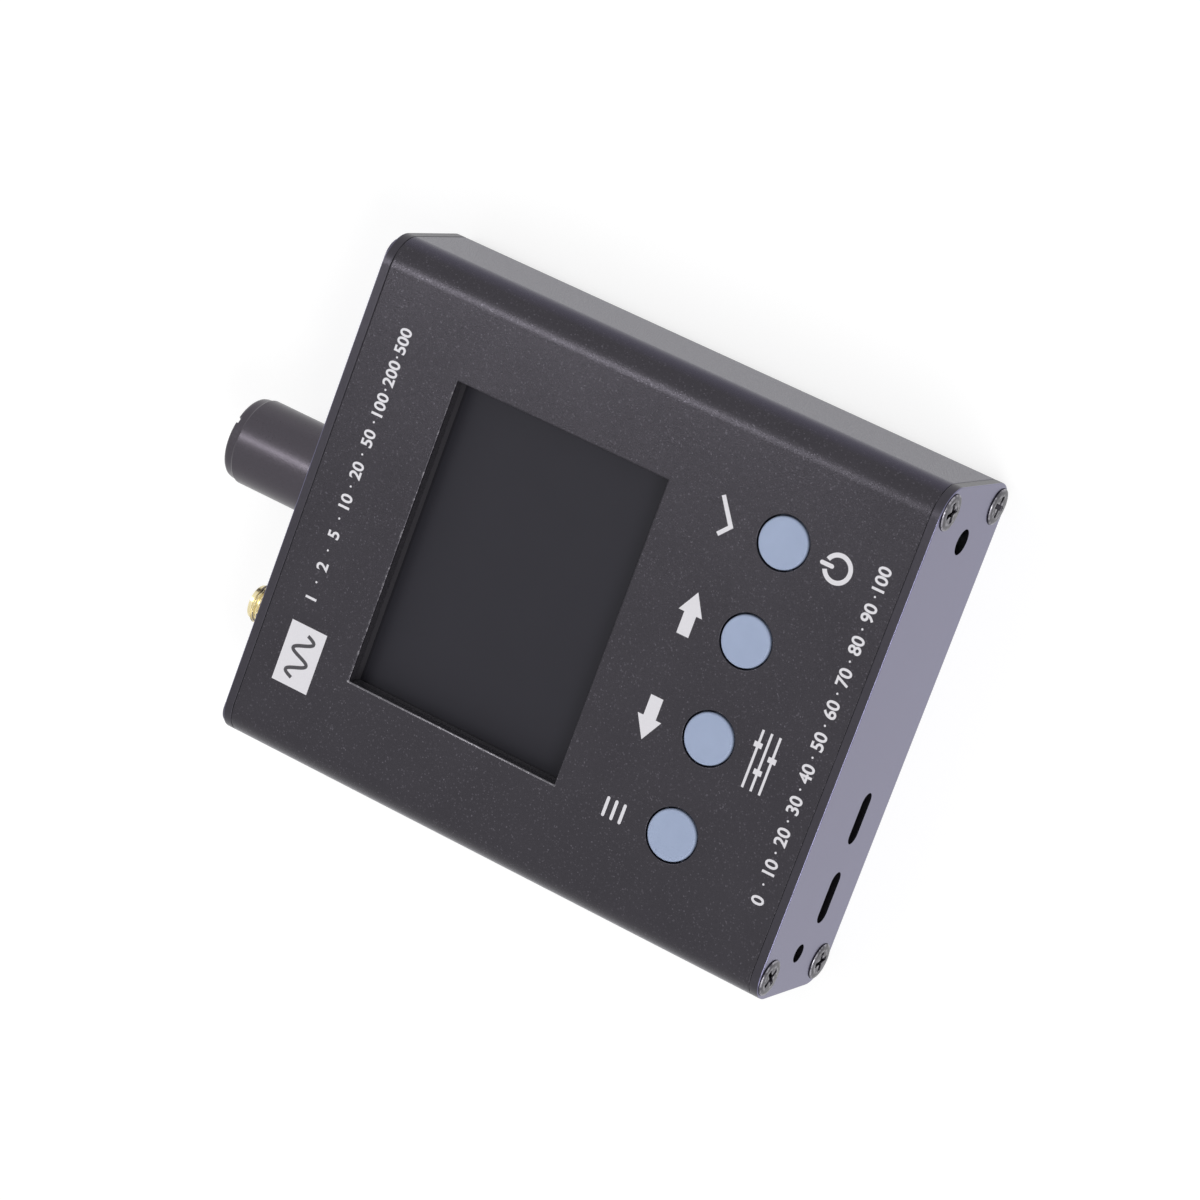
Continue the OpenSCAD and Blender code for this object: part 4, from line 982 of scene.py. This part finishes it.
def sheet(name, code, roughness=0.3):
    paint = Paint(name, Metallic=1.0)
    haze = paint.noise(0.6, 3.0)
    paint.set(Base_Color=paint.mix(haze, *around(colour(code), 0.1)))
    paint.set(Roughness=roughness + (haze - 0.5) * 0.2)
    return paint.relief(paint.noise(0.12), 0.004, 0.4)


def board(name):
    """Solder mask over copper: tracks show as slightly lighter bands."""
    paint = Paint(name, Metallic=0.0)
    tracks = paint.node("ShaderNodeTexBrick", {
        "Vector": paint.place, "Scale": 420, "Mortar Size": 0.035, "Color1": (0, 0, 0),
        "Color2": (0.25, 0.25, 0.25), "Mortar": (1, 1, 1)})
    paint.set(Base_Color=paint.mix(tracks, colour("17482e"), colour("2c6b47")))
    paint.set(Roughness=0.3 + (paint.noise(0.4) - 0.5) * 0.1)
    return paint.relief(tracks, 0.02, 0.5)


black = moulded("black_plastic", "28272b")
paint_node(black, "display_flex_socket", "board_connector", "key_switch_bodies",
           "power_key_plunger", "right_key_plunger", "left_key_plunger", "menu_key_plunger",
           "buzzer", "port_tongues", "encoder_base", "encoder_header", "encoder_plunger",
           "encoder_rotor", "knob_core")
paint_node(moulded("frame_black", "3f3d42", 0.6), "display_bezel")
paint_node(moulded("chip_epoxy", "2a2a2d", 0.5, 0.08),
           "microcontroller", "support_chips", "bridge_chip", "small_resistors")
paint_node(moulded("white_plastic", "e6e4dc"),
           "display_backlight", "charge_lamp", "battery_plug", "battery_socket", "jack_insulator")
paint_node(moulded("amber_film", "b8742c", 0.35), "display_flex")
paint_node(moulded("tan_ceramic", "8c7355"), "small_capacitors")
paint_node(moulded("grey_ferrite", "55555a"), "power_inductor")
paint_node(moulded("adhesive_pad", "d9d5c8", 0.8, 0.4, 0.05), "battery_pad")
paint_node(moulded("red_insulation", "b03030", 0.45), "battery_leads")
paint_node(board("circuit_board"), "display_board", "main_board", "encoder_board")
paint_node(sheet("pouch_foil", "c4c6cb", 0.35), "battery_cell")
paint_node(sheet("turned_brass", "cdb06a", 0.3), "board_spacers")
paint_node(steel, "spacer_screws", "key_switch_covers", "key_switch_domes", "crystal", "shield_can",
           "port_shells", "encoder_face", "encoder_terminals", "encoder_dome", "encoder_washer",
           "encoder_shaft")
paint_node(gold, "jack_contact", "jack_washer")
print("painted", len(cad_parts), "solids")

# %% [markdown]
# ## The studio
#
# The object lies on a plain white floor in white air. Seen by the camera, and seen in metal, both
# are white, and the floor still takes the object's shadow. The front is seen from above and stays
# charcoal, while the sides are seen at a low angle, where metal mirrors more, and turn light grey.
# Two large lamps give the plastic and the print their light, and two narrow ones above the object
# draw the bright line along the round edge and the knob.

# %% Lay the floor
floor_size, floor_gap = 8, 0.00002      # in metres
floor_grey, floor_glow = 0.32, 0.78     # together they come out white, and the shadow stays
bpy.ops.mesh.primitive_plane_add(size=floor_size, location=(0, 0, -floor_gap))
floor = settle(bpy.context.object)
floor.name = "floor"
floor_paint = Paint("floor_white", Base_Color=(floor_grey,) * 3, Roughness=0.9)
glow = floor_paint.node("ShaderNodeEmission", {
    "Strength": floor_paint.seen("Camera", "Glossy", "Transmission") * floor_glow})
lit = floor_paint.node("ShaderNodeAddShader", {
    0: Value(floor_paint, floor_paint.shader.outputs[0]), 1: glow})
floor_paint.plug(floor_paint.tree.nodes["Material Output"].inputs["Surface"], lit)
floor.data.materials.append(floor_paint.material)
print("floor of", floor_size, "by", floor_size, "m")

# %% Light the studio
soft_light = 0.4        # what the air gives to matt surfaces; seen or mirrored it is 1, white
world = bpy.data.worlds.new("studio")
bpy.context.scene.world = world
world.use_nodes = True
air = Shades(world.node_tree)
backdrop = world.node_tree.nodes["Background"]
air.plug(backdrop.inputs["Color"], (1, 1, 1))
shown = air.seen("Camera", "Glossy", "Transmission")
air.plug(backdrop.inputs["Strength"], soft_light + shown * (1 - soft_light))


def lamp(name, place, size, watts, target=(0, 0, 0)):
    """A soft rectangular lamp that faces a point, in metres."""
    light = bpy.data.lights.new(name, "AREA")
    light.shape, light.size, light.size_y, light.energy = "RECTANGLE", *size, watts
    piece = bpy.data.objects.new(name, light)
    piece.location = place
    piece.rotation_euler = (Vector(target) - Vector(place)).to_track_quat("-Z", "Y").to_euler()
    bpy.context.scene.collection.objects.link(piece)
    return piece


lamp("key_lamp", (-0.3, -1.1, 1.3), (0.9, 0.6), 10)
lamp("fill_lamp", (-1.3, -0.3, 1.0), (0.8, 0.8), 3)
lamp("strip_lamp", (0.0475, 0.15, 0.3), (0.05, 0.14), 0.15, (0.0475, 0.1501, 0))
lamp("line_lamp", (0.28, 0.6, 1.45), (0.3, 0.5), 0.8)
bpy.context.scene.view_settings.view_transform = "Standard"
print("studio lit by", len(bpy.data.lights), "lamps")
